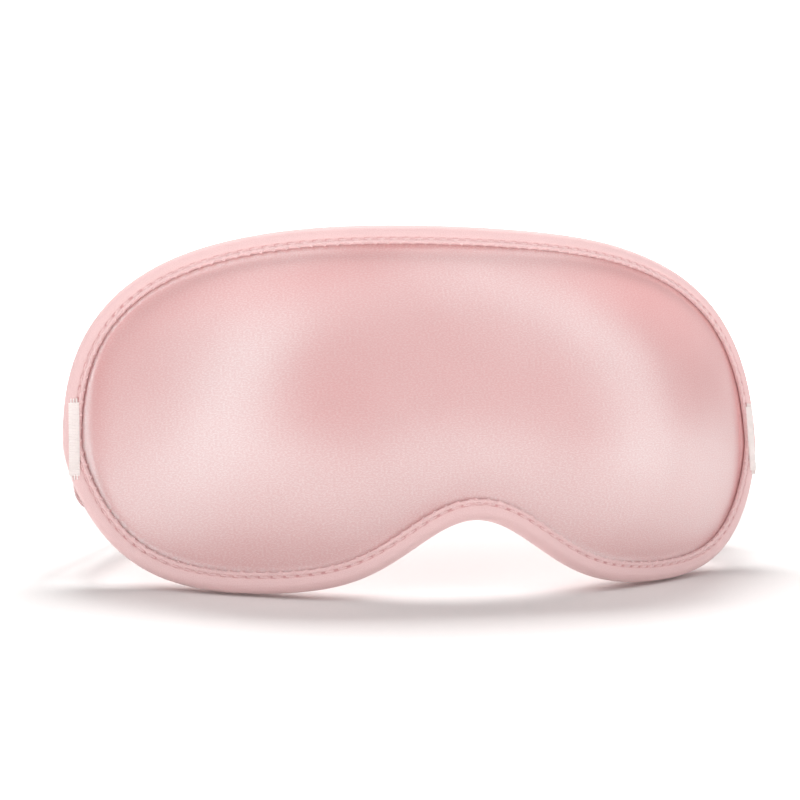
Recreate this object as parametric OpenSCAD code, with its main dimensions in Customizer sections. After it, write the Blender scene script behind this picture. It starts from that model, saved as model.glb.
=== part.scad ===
// Soft eye massager mask: a padded, contoured mask that stands on its two lower lobes
// and leans back on its elastic head strap. The control pod rides on the strap.
// Frame: +Z up, the front of the mask faces -Y, origin at the bottom centre of the whole part.

/* [Mask outline, measured flat] */
// Half of the mask's flat width, end to centre
mask_half_w = 112.5; // [100:0.5:125]
// Height of the mask at its centre
mask_h = 100; // [88:0.5:112]
// Height of the widest point of the mask above the lobes
end_h = 43; // [38:0.5:50]
// Height of the nose notch
notch_h = 18.3; // [12:0.1:24]
// Spread of the nose notch
notch_w = 17.7; // [14:0.1:22]
// Fullness of the brow edge
brow_power = 4; // [3:0.1:5]
// Fullness of the lobe edge
lobe_power = 6.3; // [4:0.1:8]

/* [Wrap around the face] */
// Radius of the wrap over the nose
wrap_r = 135; // [110:1:180]
// Angle at which the wrap turns into flat sides
wrap_angle = 22.4; // [15:0.1:28]
// Lean of the mask when it stands on its lobes
lean = 15; // [5:0.5:20]

/* [Padding] */
// Room between the motor capsules and the front foam
capsule_room = 1; // [0.8:0.1:3]
// Extra height of each front dome
dome_h = 7; // [5:0.1:10]
// Distance of each front dome from the centre
dome_s = 56; // [48:0.5:66]
// Rise of the face side above the edge binding
back_rise = 10.5; // [8:0.1:14]
// Depth of each eye cup on the face side
cup_depth = 8; // [5:0.1:9]
// Distance of each eye cup from the centre
cup_s = 36; // [32:0.5:40]
// Thickness of the front fabric laminate
cover_t = 1.2; // [0.8:0.1:1.6]
// Thickness of the face lining
lining_t = 0.8; // [0.6:0.1:1.2]
// Thickness of the front foam
front_foam_t = 3.5; // [2.5:0.1:4]

/* [Edge binding] */
// Width of the folded binding tape
binding_w = 5.6; // [4.5:0.1:7]
// Thickness of the folded binding tape
binding_t = 1.2; // [0.8:0.1:1.4]
// Half thickness of the two fabrics held in the binding
edge_t = 1.4; // [1.3:0.1:1.8]

/* [Head strap] */
// Width of the elastic strap
strap_w = 20; // [18:0.5:24]
// Thickness of the elastic strap
strap_t = 1.2; // [1:0.1:1.6]
// Run of the straight side stretch that carries the pod
side_run = 52; // [51:1:60]
// Half length of the straight stretch at the back
back_half = 38; // [37:1:46]
// Travel of the slider along the strap
slider_travel = 44; // [20:1:44]

/* [Control pod] */
// Length of the pod
pod_l = 50; // [41:0.5:51]
// How far the pod stands past each edge of the strap
pod_rim = 2; // [1.9:0.1:3.5]
// Thickness of the pod
pod_t = 11.4; // [11.4:0.1:13]
// Wall of the pod shells
pod_wall = 1.3; // [1:0.1:1.4]
// Diameter of the power button
button_d = 9; // [7:0.1:11]
// Travel of the power button
button_travel = 0.45; // [0.3:0.05:0.5]

/* [Massage motors] */
// Length of each motor capsule
capsule_l = 30; // [29:0.5:34]
// Width of each motor capsule
capsule_w = 14; // [12:0.5:16]
// Wall of the capsule halves
capsule_wall = 1; // [0.8:0.1:1.2]
// Diameter of each motor can
motor_d = 5.6; // [4.8:0.1:6.8]
// Diameter of the motor shaft
shaft_d = 1; // [0.8:0.1:1.2]

/* [Hidden] */

// Clearances
gap = 0.3;          // between pieces that lie on each other
soft_gap = 0.75;     // between two padded layers
run_gap = 0.05;     // radial, of a shaft in its bore
fit_gap = 0.2;      // round a button or in a slot

satin = [0.95, 0.80, 0.79];
tape = [0.95, 0.85, 0.84];
foam = [0.93, 0.91, 0.86];
shell_pink = [0.90, 0.72, 0.71];

// ---------- outline of the flat mask ----------
brow_round = 2.4;
lobe_round = 1.39;
function brow_z(s, cut = 0) = let (q = min(1, abs(s) / (mask_half_w - cut)))
    end_h + (mask_h - end_h - cut) * pow(1 - pow(q, brow_power), 1 / brow_round);
function lobe_z(s, cut = 0) = let (q = min(1, abs(s) / (mask_half_w - cut)))
    end_h - (end_h - cut) * pow(1 - pow(q, lobe_power), 1 / lobe_round)
    + notch_h * exp(-pow(s / notch_w, 2) / 2);

// Rough distance of a point from the outline, square to its edge
function steep(a, b) = sqrt(1 + (b - a) * (b - a));
function inset(s, z) = let (
    up = max(0.01, (brow_z(s) - z) / steep(brow_z(s - 0.5), brow_z(s + 0.5))),
    down = max(0.01, (z - lobe_z(s)) / steep(lobe_z(s - 0.5), lobe_z(s + 0.5))),
    side = max(0.01, mask_half_w - abs(s)))
    1 / sqrt(1 / (up * up) + 1 / (down * down) + 1 / (side * side));

// ---------- wrap of the flat mask round the face ----------
arc_s = wrap_r * wrap_angle * PI / 180;
function wrap_a(s) = sign(s) * min(abs(s), arc_s) / wrap_r * 180 / PI;
function wrap(s, z, o) = let (
    a = wrap_a(s),
    flat = max(0, abs(s) - arc_s))
    [wrap_r * sin(a) + sign(s) * flat * cos(a) + o * sin(a),
     wrap_r * (1 - cos(a)) + flat * abs(sin(a)) - o * cos(a),
     z];

// ---------- surfaces, as heights above the middle sheet ----------
capsule_t = motor_d + 2 * (capsule_wall + fit_gap);
front_rise = capsule_t + capsule_room;
seam_w = binding_w + 0.6;
slope_w = 16;
function ease(t) = t <= 0 ? 0 : t >= 1 ? 1 : pow(1 - (1 - t) * (1 - t), 0.6);
function rise(s, z) = ease((inset(s, z) - seam_w) / slope_w);
function bump(s, z, s0, z0, sw, zw) = exp(-pow((abs(s) - s0) / sw, 2) - pow((z - z0) / zw, 2));
dome_z = mask_h * 0.52;
cup_z = mask_h * 0.5;
function front_o(s, z) = edge_t + rise(s, z) * (front_rise + dome_h * bump(s, z, dome_s, dome_z, 34, 34));
function back_o(s, z) = edge_t + rise(s, z) * (back_rise - cup_depth * bump(s, z, cup_s, cup_z, 22, 19));

// ---------- standing pose of the mask ----------
function tilt(p) = [p.x, p.y * cos(lean) + p.z * sin(lean), p.z * cos(lean) - p.y * sin(lean)];
tape_o = edge_t + gap + binding_t;
outline_n = 96;
function outline_pt(i) = let (
    a = 360 * i / outline_n,
    s = mask_half_w * sin(a))
    cos(a) >= 0 ? [s, lobe_z(s)] : [s, brow_z(s)];
outline = [for (i = [0:outline_n - 1]) outline_pt(i)];
lift = -min([for (p = outline) tilt(wrap(p[0], p[1], -tape_o)).z]);
front_y = min([for (s = [-90:3:90], z = [30:4:80]) tilt(wrap(s, z, front_o(s, z))).y]);

// ---------- head strap route, in the standing frame before it is centred ----------
side_angle = 30;
ring_wire = 2.6;
ring_l = 9;
loop_r = ring_wire / 2 + fit_gap + strap_t / 2;
ring_h = strap_w + 2 * ring_wire + 1;
strap_o = -(tape_o + gap + strap_t / 2);
strap_in = wrap(mask_half_w - binding_w - 0.6, end_h, strap_o);
strap_out = wrap(mask_half_w - 3.4, end_h, strap_o);
root_a = tilt(strap_in) + [0, 0, lift];
root_b = tilt(strap_out) + [0, 0, lift];
side_z = 26;
back_z = ring_h / 2;
side_dir = [-sin(side_angle), cos(side_angle), 0];
side_a = [root_b.x - 5.5, root_b.y + 14.5, side_z];
side_b = side_a + side_run * side_dir;
back_y = side_b.y + 24;
back_a = [back_half, back_y, back_z];
lean_up = [0, sin(lean), cos(lean)];
up = [0, 0, 1];
centre_y = (front_y + back_y + 2 * loop_r + strap_t / 2) / 2;

function bezier(a, da, b, db, n) = [for (i = [0:n]) let (t = i / n, u = 1 - t)
    u * u * u * a + 3 * u * u * t * (a + da) + 3 * u * t * t * (b - db) + t * t * t * b];
function mirror_x(pts) = [for (p = pts) [-p.x, p.y, p.z]];
function reverse(pts) = [for (i = [len(pts) - 1:-1:0]) pts[i]];
function tail(pts) = [for (i = [1:len(pts) - 1]) pts[i]];
root_dir = (root_b - root_a) / norm(root_b - root_a);
side_route = concat([root_a],
    bezier(root_b, 2.6 * root_dir, side_a, 9 * side_dir, 9),
    [side_b],
    tail(bezier(side_b, 16 * side_dir, back_a, [-20, 0, 0], 10)));

// ---------- solids from points ----------
// Closed slab between two height functions over a cut-back outline
function grid_pts(cut, height, sign_o, cols, rows) = [
    for (i = [0:cols]) let (
        a = -88 + 176 * i / cols,
        s = (mask_half_w - cut) * sin(a),
        low = lobe_z(s, cut),
        high = brow_z(s, cut),
        flat = max(0.4, seam_w - 0.1 - cut),
        room = (high - low) / 4,
        low_in = low + min(room, flat * steep(lobe_z(s - 0.5), lobe_z(s + 0.5))),
        high_in = high - min(room, flat * steep(brow_z(s - 0.5), brow_z(s + 0.5))))
    for (j = [0:rows]) let (
        t = (j - 1) / (rows - 2),
        mixed = 0.35 * t + 0.65 * (1 - cos(180 * t)) / 2,
        z = j == 0 ? low : j == rows ? high : low_in + (high_in - low_in) * mixed)
    wrap(s, z, sign_o * height(s, z))];
module slab(cut, outer, inner, sign_o, cols, rows) {
    n = (cols + 1) * (rows + 1);
    pts = concat(grid_pts(cut, outer, sign_o, cols, rows), grid_pts(cut, inner, sign_o, cols, rows));
    function at(i, j) = i * (rows + 1) + j;
    rim = concat([for (j = [0:rows - 1]) at(0, j)], [for (i = [0:cols - 1]) at(i, rows)],
        [for (j = [rows:-1:1]) at(cols, j)], [for (i = [cols:-1:1]) at(i, 0)]);
    m = len(rim);
    faces = concat(
        [for (i = [0:cols - 1], j = [0:rows - 1]) each [
            [at(i, j), at(i, j + 1), at(i + 1, j + 1)], [at(i, j), at(i + 1, j + 1), at(i + 1, j)]]],
        [for (i = [0:cols - 1], j = [0:rows - 1]) each [
            [n + at(i, j), n + at(i + 1, j + 1), n + at(i, j + 1)],
            [n + at(i, j), n + at(i + 1, j), n + at(i + 1, j + 1)]]],
        [for (k = [0:m - 1]) let (a = rim[k], b = rim[(k + 1) % m]) each [
            [a, n + b, b], [a, n + a, n + b]]]);
    polyhedron(pts, sign_o > 0 ? faces : [for (f = faces) [f[0], f[2], f[1]]]);
}

// Ring of equal sections joined into a closed or an open sweep
module sweep(sections, closed = false) {
    n = len(sections);
    k = len(sections[0]);
    last = closed ? n - 1 : n - 2;
    side = [for (i = [0:last], j = [0:k - 1]) let (
        a = i * k + j,
        b = i * k + (j + 1) % k,
        c = ((i + 1) % n) * k + (j + 1) % k,
        d = ((i + 1) % n) * k + j)
        each [[a, b, c], [a, c, d]]];
    caps = closed ? [] : [[for (j = [k - 1:-1:0]) j], [for (j = [0:k - 1]) (n - 1) * k + j]];
    polyhedron([for (sec = sections) each sec], concat(side, caps));
}

function unit(v) = v / norm(v);
function tangent(pts, i) = unit(pts[min(i + 1, len(pts) - 1)] - pts[max(i - 1, 0)]);

// Flat band: up vector at each station runs from up_a to up_b
module band(route, width, thick, ups) {
    sweep([for (i = [0:len(route) - 1]) let (
        across = unit(cross(tangent(route, i), ups[i])) * thick / 2,
        edge = ups[i] * width / 2)
        [route[i] - edge - across, route[i] + edge - across, route[i] + edge + across, route[i] - edge + across]]);
}

// Round lead through hand-chosen points
module lead(route, d) {
    sides = 8;
    sweep([for (i = [0:len(route) - 1]) let (
        t = tangent(route, i),
        a = unit(cross(t, [0.13, 0.2, 1])),
        b = cross(t, a))
        [for (j = [0:sides - 1]) route[i] + d / 2 * (cos(-360 * j / sides) * a + sin(-360 * j / sides) * b)]]);
}

module stand() {
    translate([0, -centre_y, lift]) rotate([-lean, 0, 0]) children();
}

// Places a piece on the mask: X along the mask, Y up, Z towards the front
module on_mask(s, z, o) {
    translate(wrap(s, z, o)) rotate([90, 0, wrap_a(s)]) children();
}

module both(side) {
    if (side < 0) mirror([1, 0, 0]) children();
    else children();
}

// Exact rounded rectangle
module rounded(l, w, r) {
    square([l - 2 * r, w], center = true);
    square([l, w - 2 * r], center = true);
    for (x = [-1, 1], y = [-1, 1]) translate([x * (l / 2 - r), y * (w / 2 - r)]) circle(r, $fn = 40);
}
module plate(l, w, r, t) {
    linear_extrude(t) rounded(l, w, r);
}
module box(l, w, t) {
    translate([-l / 2, -w / 2, 0]) cube([l, w, t]);
}

// ---------- padded body ----------
panel_cut = binding_t + gap;
core_cut = 12;
cover_cols = 44;
cover_rows = 20;
foam_cols = 34;
foam_rows = 14;
core_o = 0.4;
core_t = 0.6;
film_t = 0.3;

module front_cover() {
    color(satin) stand() slab(panel_cut, function (s, z) front_o(s, z),
        function (s, z) front_o(s, z) - edge_t + gap / 2 - (cover_t - edge_t + gap / 2) * rise(s, z),
        1, cover_cols, cover_rows);
}

module front_foam() {
    skin = cover_t + soft_gap;
    lead_top = lead_o + lead_d / 2 + gap;
    color(foam) stand() slab(core_cut, function (s, z) front_o(s, z) - skin,
        function (s, z) max(lead_top, front_o(s, z) - skin - front_foam_t * (0.5 + 0.5 * rise(s, z))),
        1, foam_cols, foam_rows);
}

module carrier_sheet() {
    color([0.85, 0.86, 0.88]) stand() slab(core_cut, function (s, z) core_o + core_t,
        function (s, z) core_o, 1, 24, 6);
}

module back_foam() {
    skin = lining_t + soft_gap;
    color(foam) stand() slab(core_cut, function (s, z) back_o(s, z) - skin,
        function (s, z) 0.5, -1, foam_cols, foam_rows);
}

lead_s = mask_half_w - 10;
module back_lining() {
    color([0.93, 0.80, 0.79]) stand() difference() {
        slab(panel_cut, function (s, z) back_o(s, z),
            function (s, z) back_o(s, z) - edge_t + gap / 2 - (lining_t - edge_t + gap / 2) * rise(s, z),
            -1, cover_cols, cover_rows);
        on_mask(lead_s, end_h, -12) cylinder(r = lead_hole_r, h = 14, $fn = 32);
    }
}

// Film heater behind each eye
module heating_film(side) {
    film_l = 56;
    film_h = 34;
    film_n = 8;
    color([0.75, 0.45, 0.15]) stand() both(side) sweep([for (i = [0:film_n]) let (
        s = cup_s + 6 + film_l * (i / film_n - 0.5))
        [wrap(s, cup_z - film_h / 2, -0.2), wrap(s, cup_z - film_h / 2, film_t - 0.2),
         wrap(s, cup_z + film_h / 2, film_t - 0.2), wrap(s, cup_z + film_h / 2, -0.2)]]);
}
module left_heating_film() heating_film(-1);
module right_heating_film() heating_film(1);

capsule_s = dome_s + 4;
capsule_z = dome_z - 4;
seat_o = core_o + core_t + gap / 3;
module thermistor(side) {
    color([0.15, 0.15, 0.17]) stand() both(side)
        on_mask(capsule_s, capsule_z + capsule_w / 2 + 5, seat_o) plate(4, 2.6, 0.8, 1.6);
}
module left_thermistor() thermistor(-1);
module right_thermistor() thermistor(1);

// ---------- edge binding: U-shaped tape round the whole outline ----------
function outline_in(i, d) = let (
    a = outline[(i + outline_n - 1) % outline_n],
    b = outline[(i + 1) % outline_n],
    t = (b - a) / norm(b - a))
    outline[i % outline_n] + d * [-t.y, t.x];
module edge_binding() {
    inner = edge_t + gap;
    section = [[binding_w, inner], [binding_w, tape_o - 0.2], [binding_w - 1.2, tape_o], [1, tape_o],
        [0.2, tape_o - 0.9], [0, 0], [0.2, -tape_o + 0.9], [1, -tape_o], [binding_w - 1.2, -tape_o],
        [binding_w, -tape_o + 0.2], [binding_w, -inner], [binding_t, -inner], [binding_t, inner]];
    color(tape) stand() sweep([for (i = [0:outline_n - 1])
        [for (p = reverse(section)) let (q = outline_in(i, p[0])) wrap(q[0], q[1], p[1])]], closed = true);
}

// Satin-stitched bar that locks each strap end
bartack_w = 2.4;
bartack_t = 0.5;
module bartack(side) {
    color([0.98, 0.92, 0.91]) stand() both(side)
        on_mask(mask_half_w - 3.6, end_h + 1, tape_o + 0.05) plate(bartack_w, strap_w - 0.5, 0.8, bartack_t);
}
module left_bartack() bartack(-1);
module right_bartack() bartack(1);

// ---------- massage motors ----------
axis_z = capsule_t / 2;
bearing_l = 2;
bearing_x = capsule_l / 2 - capsule_wall - bearing_l - 0.5;
can_l = 12.5;
can_x = -capsule_l / 2 + capsule_wall + 0.8;
rotor_l = 5;
module at_capsule(side) {
    stand() both(side) on_mask(capsule_s, capsule_z, seat_o) children();
}
module capsule_half() {
    inner_l = capsule_l - 2 * capsule_wall;
    inner_w = capsule_w - 2 * capsule_wall;
    difference() {
        union() {
            difference() {
                plate(capsule_l, capsule_w, 3, axis_z);
                translate([0, 0, capsule_wall]) plate(inner_l, inner_w, 3 - capsule_wall, axis_z);
            }
            translate([can_x + 2, -4, capsule_wall / 2]) cube([can_l - 4, 8, axis_z - capsule_wall / 2]);
            translate([bearing_x, -2, capsule_wall / 2]) cube([bearing_l, 4, axis_z - capsule_wall / 2]);
        }
        translate([can_x - 0.2, 0, axis_z]) rotate([0, 90, 0]) cylinder(r = motor_d / 2 + gap / 3, h = can_l + 0.4, $fn = 48);
        translate([bearing_x - 1, 0, axis_z]) rotate([0, 90, 0])
            cylinder(r = shaft_d / 2 + run_gap, h = bearing_l + 2, $fn = 32);
    }
}
module motor_base(side) {
    color([0.92, 0.92, 0.93]) at_capsule(side) capsule_half();
}
module motor_lid(side) {
    color([0.92, 0.92, 0.93]) at_capsule(side)
        translate([0, 0, capsule_t]) mirror([0, 0, 1]) capsule_half();
}
module motor(side) {
    color([0.75, 0.76, 0.78]) at_capsule(side) translate([can_x, 0, axis_z]) rotate([0, 90, 0]) difference() {
        cylinder(d = motor_d, h = can_l, $fn = 48);
        translate([0, 0, can_l - 7]) cylinder(r = shaft_d / 2 + run_gap, h = 8, $fn = 32);
    }
}
module rotor(side) {
    shaft_a = can_x + can_l - 6.5;
    shaft_b = bearing_x + bearing_l - 0.2;
    weight_x = (can_x + can_l + bearing_x - rotor_l) / 2;
    color([0.80, 0.68, 0.40]) at_capsule(side) translate([0, 0, axis_z]) rotate([0, 90, 0]) union() {
        translate([0, 0, shaft_a]) cylinder(d = shaft_d, h = shaft_b - shaft_a, $fn = 32);
        translate([0, 0, weight_x]) difference() {
            cylinder(r = motor_d / 2 - 0.2, h = rotor_l, $fn = 48);
            translate([-motor_d, shaft_d / 2 + 0.3, -1]) cube([2 * motor_d, motor_d, rotor_l + 2]);
        }
    }
}
module left_motor_base() motor_base(-1);
module right_motor_base() motor_base(1);
module left_motor_lid() motor_lid(-1);
module right_motor_lid() motor_lid(1);
module left_motor() motor(-1);
module right_motor() motor(1);
module left_rotor() rotor(-1);
module right_rotor() rotor(1);

// ---------- head strap ----------
ring_x = back_half - ring_l / 2;
fold_o = strap_t + 0.4;
tab_fold = 14;
fold_in = 0.9;
module loop_frame() {
    translate([0, -centre_y, 0]) children();
}
// Half turn of the strap round a bar and its run back, seen from above
function fold(x, dir, run) = concat([[x - dir * fold_in, back_y, back_z]],
    [for (a = [-90:30:90]) [x + dir * loop_r * cos(a), back_y + loop_r + loop_r * sin(a), back_z]],
    bezier([x - dir * 2, back_y + 2 * loop_r - 0.1, back_z], [-dir * 2, 0, 0],
        [x - dir * 8, back_y + fold_o, back_z], [-dir * 2, 0, 0], 4),
    [[x - dir * run, back_y + fold_o, back_z]]);
function ups_of(route, last) = [for (i = [0:len(route) - 1]) let (k = max(0, min(1, (i - 1) / (last - 1))))
    unit(lean_up * (1 - k) + up * k)];

slider_l = 13;
slider_wall = 1.1;
slider_x = ring_x - ring_l / 2 - 8 - slider_travel - slider_l / 2;
module head_strap() {
    route = concat(mirror_x(side_route), [[ring_x - ring_l / 2 - fold_in - gap / 3, back_y, back_z]]);
    color(tape) loop_frame() band(route, strap_w, strap_t, ups_of(route, 8));
}
module strap_return() {
    turn = fold(ring_x - ring_l / 2, 1, ring_x - ring_l / 2 - slider_x);
    color(tape) loop_frame() band(turn, strap_w, strap_t, [for (p = turn) up]);
}
module strap_tab() {
    turn = fold(ring_x + ring_l / 2, -1, tab_fold);
    route = concat([for (p = side_route) if (p.x > ring_x + ring_l / 2 + 1) p], turn);
    color(tape) loop_frame() band(route, strap_w, strap_t, ups_of(route, 8));
}

module strap_ring() {
    half_h = (ring_h - ring_wire) / 2;
    color([0.93, 0.78, 0.77]) loop_frame() translate([ring_x, back_y + loop_r, back_z]) {
        for (x = [-1, 1]) translate([x * ring_l / 2, 0, -half_h]) cylinder(d = ring_wire, h = 2 * half_h, $fn = 32);
        for (z = [-1, 1]) translate([-ring_l / 2, 0, z * half_h]) rotate([0, 90, 0])
            cylinder(d = ring_wire, h = ring_l, $fn = 32);
        for (x = [-1, 1], z = [-1, 1]) translate([x * ring_l / 2, 0, z * half_h]) sphere(d = ring_wire, $fn = 32);
    }
}

module strap_slider() {
    slot_w = strap_w + 2 * gap;
    slot_t = fold_o + strap_t + 2 * fit_gap;
    out_w = ring_h - 0.4;
    out_t = slot_t + 2 * slider_wall;
    bar = 2.4;
    color([0.93, 0.78, 0.77]) loop_frame() translate([slider_x, back_y + fold_o / 2, back_z]) rotate([90, 0, 0])
        difference() {
            translate([0, 0, -out_t / 2]) plate(slider_l, out_w, 2, out_t);
            translate([-slider_l, -slot_w / 2, -slot_t / 2]) cube([2 * slider_l, slot_w, slot_t]);
            for (x = [-1, 1]) translate([x * (slider_l / 4 - 0.2), 0, -out_t]) box(slider_l / 2 - bar, slot_w, out_t);
        }
}

// ---------- control pod ----------
pod_c = (side_a + side_b) / 2;
pod_yaw = 90 + side_angle;
pod_w = strap_w + 2 * pod_rim;
module at_pod() {
    loop_frame() translate(pod_c) rotate([90, 0, pod_yaw]) translate([0, 0, strap_t / 2 + gap / 2]) children();
}
split_t = 6.8;
pod_r = 5;
board_z = 5.7;
board_t = 0.8;
usb_w = 8.94;
usb_t = 3.16;
usb_l = 7.4;
usb_z = board_z - 0.05 - usb_t / 2;
screw_a = -pod_l / 2 + 4.6;
screw_b = pod_l / 2 - usb_l - 7.4;
screw_y = pod_w / 2 - 5;
screw_pts = [[screw_a, screw_y], [screw_a, -screw_y], [screw_b, screw_y], [screw_b, -screw_y]];
screw_d = 1.6;
boss_d = 3.6;
button_x = screw_a + 14.4;
pipe_x = pod_l / 2 - 11;
pipe_d = 2;
hinge_x = pod_l / 2 + 1.1;
hinge_z = 1.35;
hinge_w = 9.4;
lug_t = 1.5;
module stadium(w, t, h) {
    linear_extrude(h) {
        square([t, w - t], center = true);
        for (y = [-1, 1]) translate([0, y * (w - t) / 2]) circle(d = t, $fn = 40);
    }
}

module pod_back_shell() {
    color(shell_pink) at_pod() difference() {
        union() {
            difference() {
                plate(pod_l, pod_w, pod_r, split_t);
                translate([0, 0, pod_wall + 0.1]) plate(pod_l - 2 * pod_wall, pod_w - 2 * pod_wall, pod_r - pod_wall, split_t);
            }
            for (p = screw_pts) translate([p[0], p[1], pod_wall / 2]) cylinder(d = boss_d, h = board_z - gap / 3 - pod_wall / 2, $fn = 32);
            for (y = [-1, 1]) translate([pod_l / 2 - 0.5, y * (hinge_w / 2 + fit_gap + lug_t / 2) - lug_t / 2, 0.3])
                cube([2.6, lug_t, 2.1]);
        }
        for (p = screw_pts) translate([p[0], p[1], -1]) cylinder(d = screw_d + 0.3, h = split_t + 2, $fn = 32);
        for (p = screw_pts) translate([p[0], p[1], -1]) cylinder(d = 3, h = 2, $fn = 32);
        translate([pod_l / 2 - usb_l - 2, 0, usb_z]) rotate([0, 90, 0])
            stadium(usb_w + 2 * fit_gap, usb_t + 2 * fit_gap, usb_l + 6);
        translate([hinge_x, -pod_w, hinge_z]) rotate([-90, 0, 0])
            cylinder(r = 0.5 + run_gap, h = 2 * pod_w, $fn = 32);
    }
}

module pod_front_shell() {
    color(shell_pink) at_pod() difference() {
        union() {
            difference() {
                translate([0, 0, split_t]) plate(pod_l, pod_w, pod_r, pod_t - split_t);
                translate([0, 0, split_t - 1])
                    plate(pod_l - 2 * pod_wall, pod_w - 2 * pod_wall, pod_r - pod_wall, pod_t - split_t + 1 - pod_wall - 0.1);
            }
            for (p = screw_pts) translate([p[0], p[1], board_z + board_t + gap / 3])
                cylinder(d = boss_d, h = pod_t - board_z - board_t - gap / 3 - pod_wall / 2, $fn = 32);
        }
        for (p = screw_pts) translate([p[0], p[1], 0]) cylinder(d = screw_d + 0.1, h = 9.6, $fn = 32);
        translate([button_x, 0, 0]) cylinder(d = button_d + 2 * fit_gap, h = 20, $fn = 64);
        translate([pipe_x, 0, 0]) cylinder(d = pipe_d + fit_gap, h = 20, $fn = 32);
    }
}

// Screws go in from behind: 1 mm head, then thread
module pod_screws() {
    color([0.7, 0.7, 0.72]) at_pod() for (p = screw_pts) translate([p[0], p[1], 0.1]) {
        cylinder(d = 2.7, h = 0.85, $fn = 32);
        cylinder(d = screw_d, h = 9, $fn = 32);
    }
}

// Channel plate that holds the strap against the back of the pod
clip_wall = 1.2;
clip_l = 40;
module pod_clip() {
    depth = strap_t + gap;
    rim = (pod_w - strap_w) / 2 - gap;
    color(shell_pink) at_pod() translate([0, 0, -depth - clip_wall]) {
        plate(clip_l, pod_w, 2, clip_wall);
        for (y = [-1, 1]) translate([0, y * (pod_w - rim) / 2, clip_wall]) box(clip_l - 4, rim, depth);
    }
}

module circuit_board() {
    color([0.05, 0.35, 0.18]) at_pod() translate([0, 0, board_z]) difference() {
        plate(pod_l - 2 * pod_wall - 1, pod_w - 2 * pod_wall - 1, pod_r - pod_wall, board_t);
        for (p = screw_pts) translate([p[0], p[1], -1]) cylinder(d = screw_d + 0.4, h = 3, $fn = 32);
    }
}
module control_chips() {
    color([0.1, 0.1, 0.11]) at_pod() translate([0, 0, board_z + board_t]) {
        translate([button_x + 0.47 * (pipe_x - button_x), 0, 0]) box(5, 5, 1);
        translate([button_x - 8.5, 4, 0]) box(3, 3, 0.9);
        translate([button_x - 8.5, -4, 0]) box(4, 2.4, 1.1);
        translate([pipe_x, 0, 0]) box(1.6, 1.6, 0.6);
    }
}
module battery() {
    room = 1;
    color([0.70, 0.72, 0.75]) at_pod() translate([(screw_a + screw_b) / 2, 0, pod_wall + 0.2])
        plate(screw_b - screw_a - boss_d - 2 * room, pod_w - 2 * pod_wall - 4.4, 1.2, 3.6);
}
module usb_socket() {
    color([0.78, 0.78, 0.80]) at_pod() translate([pod_l / 2 - usb_l - 0.1, 0, usb_z]) rotate([0, 90, 0]) {
        difference() {
            stadium(usb_w, usb_t, usb_l);
            translate([0, 0, 1]) stadium(usb_w - 0.6, usb_t - 0.6, usb_l);
        }
        translate([-0.35, -3.35, 0.5]) cube([0.7, 6.7, 5]);
    }
}
tact_t = 1.5;
module tact_switch() {
    color([0.2, 0.2, 0.22]) at_pod() translate([button_x, 0, board_z + board_t]) {
        box(4.6, 4.6, tact_t - 0.5);
        cylinder(d = 2.2, h = tact_t, $fn = 32);
    }
}
module power_button() {
    foot = board_z + board_t + tact_t + button_travel + 0.05;
    color([0.97, 0.90, 0.89]) at_pod() translate([button_x, 0, 0]) {
        translate([0, 0, foot]) cylinder(d = button_d, h = pod_t + 0.6 - foot, $fn = 64);
        translate([0, 0, foot]) cylinder(d = button_d + 2, h = 0.7, $fn = 64);
    }
}
module light_pipe() {
    color([0.95, 0.95, 0.98]) at_pod() translate([pipe_x, 0, board_z + board_t + 0.7])
        cylinder(d = pipe_d, h = pod_t - board_z - board_t - 0.6, $fn = 32);
}
module port_cover() {
    plate_t = 1.1;
    top = usb_z + usb_t / 2 + 0.9;
    color([0.88, 0.68, 0.68]) at_pod() {
        translate([hinge_x, -hinge_w / 2, hinge_z]) rotate([-90, 0, 0]) cylinder(r = 0.9, h = hinge_w, $fn = 32);
        translate([hinge_x, -hinge_w / 2 - fit_gap - lug_t, hinge_z]) rotate([-90, 0, 0])
            cylinder(r = 0.5, h = hinge_w + 2 * (fit_gap + lug_t), $fn = 32);
        translate([hinge_x - 0.9, -hinge_w / 2, hinge_z]) cube([plate_t, hinge_w, top - hinge_z]);
        translate([pod_l / 2 - 0.9, -3.5, usb_z - 0.8]) cube([1.5, 7, 1.6]);
    }
}

// ---------- leads ----------
lead_d = 1.4;
lead_hole_r = lead_d / 2 + 0.7;
lead_o = seat_o + lead_d / 2 + 0.2;
side_out = cross(side_dir, up);
board_s = capsule_s + capsule_l / 2 + 9;
module junction_board() {
    color([0.05, 0.35, 0.18]) stand() on_mask(board_s, capsule_z, seat_o) plate(6, 10, 1, 1);
}
module lead_grommet() {
    color([0.85, 0.70, 0.70]) stand() on_mask(lead_s, end_h, -back_o(lead_s, end_h) - 2) difference() {
        cylinder(r = lead_hole_r - 0.1, h = 4.5, $fn = 32);
        translate([0, 0, -1]) cylinder(r = lead_d / 2 + 0.1, h = 7, $fn = 32);
    }
}

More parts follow.
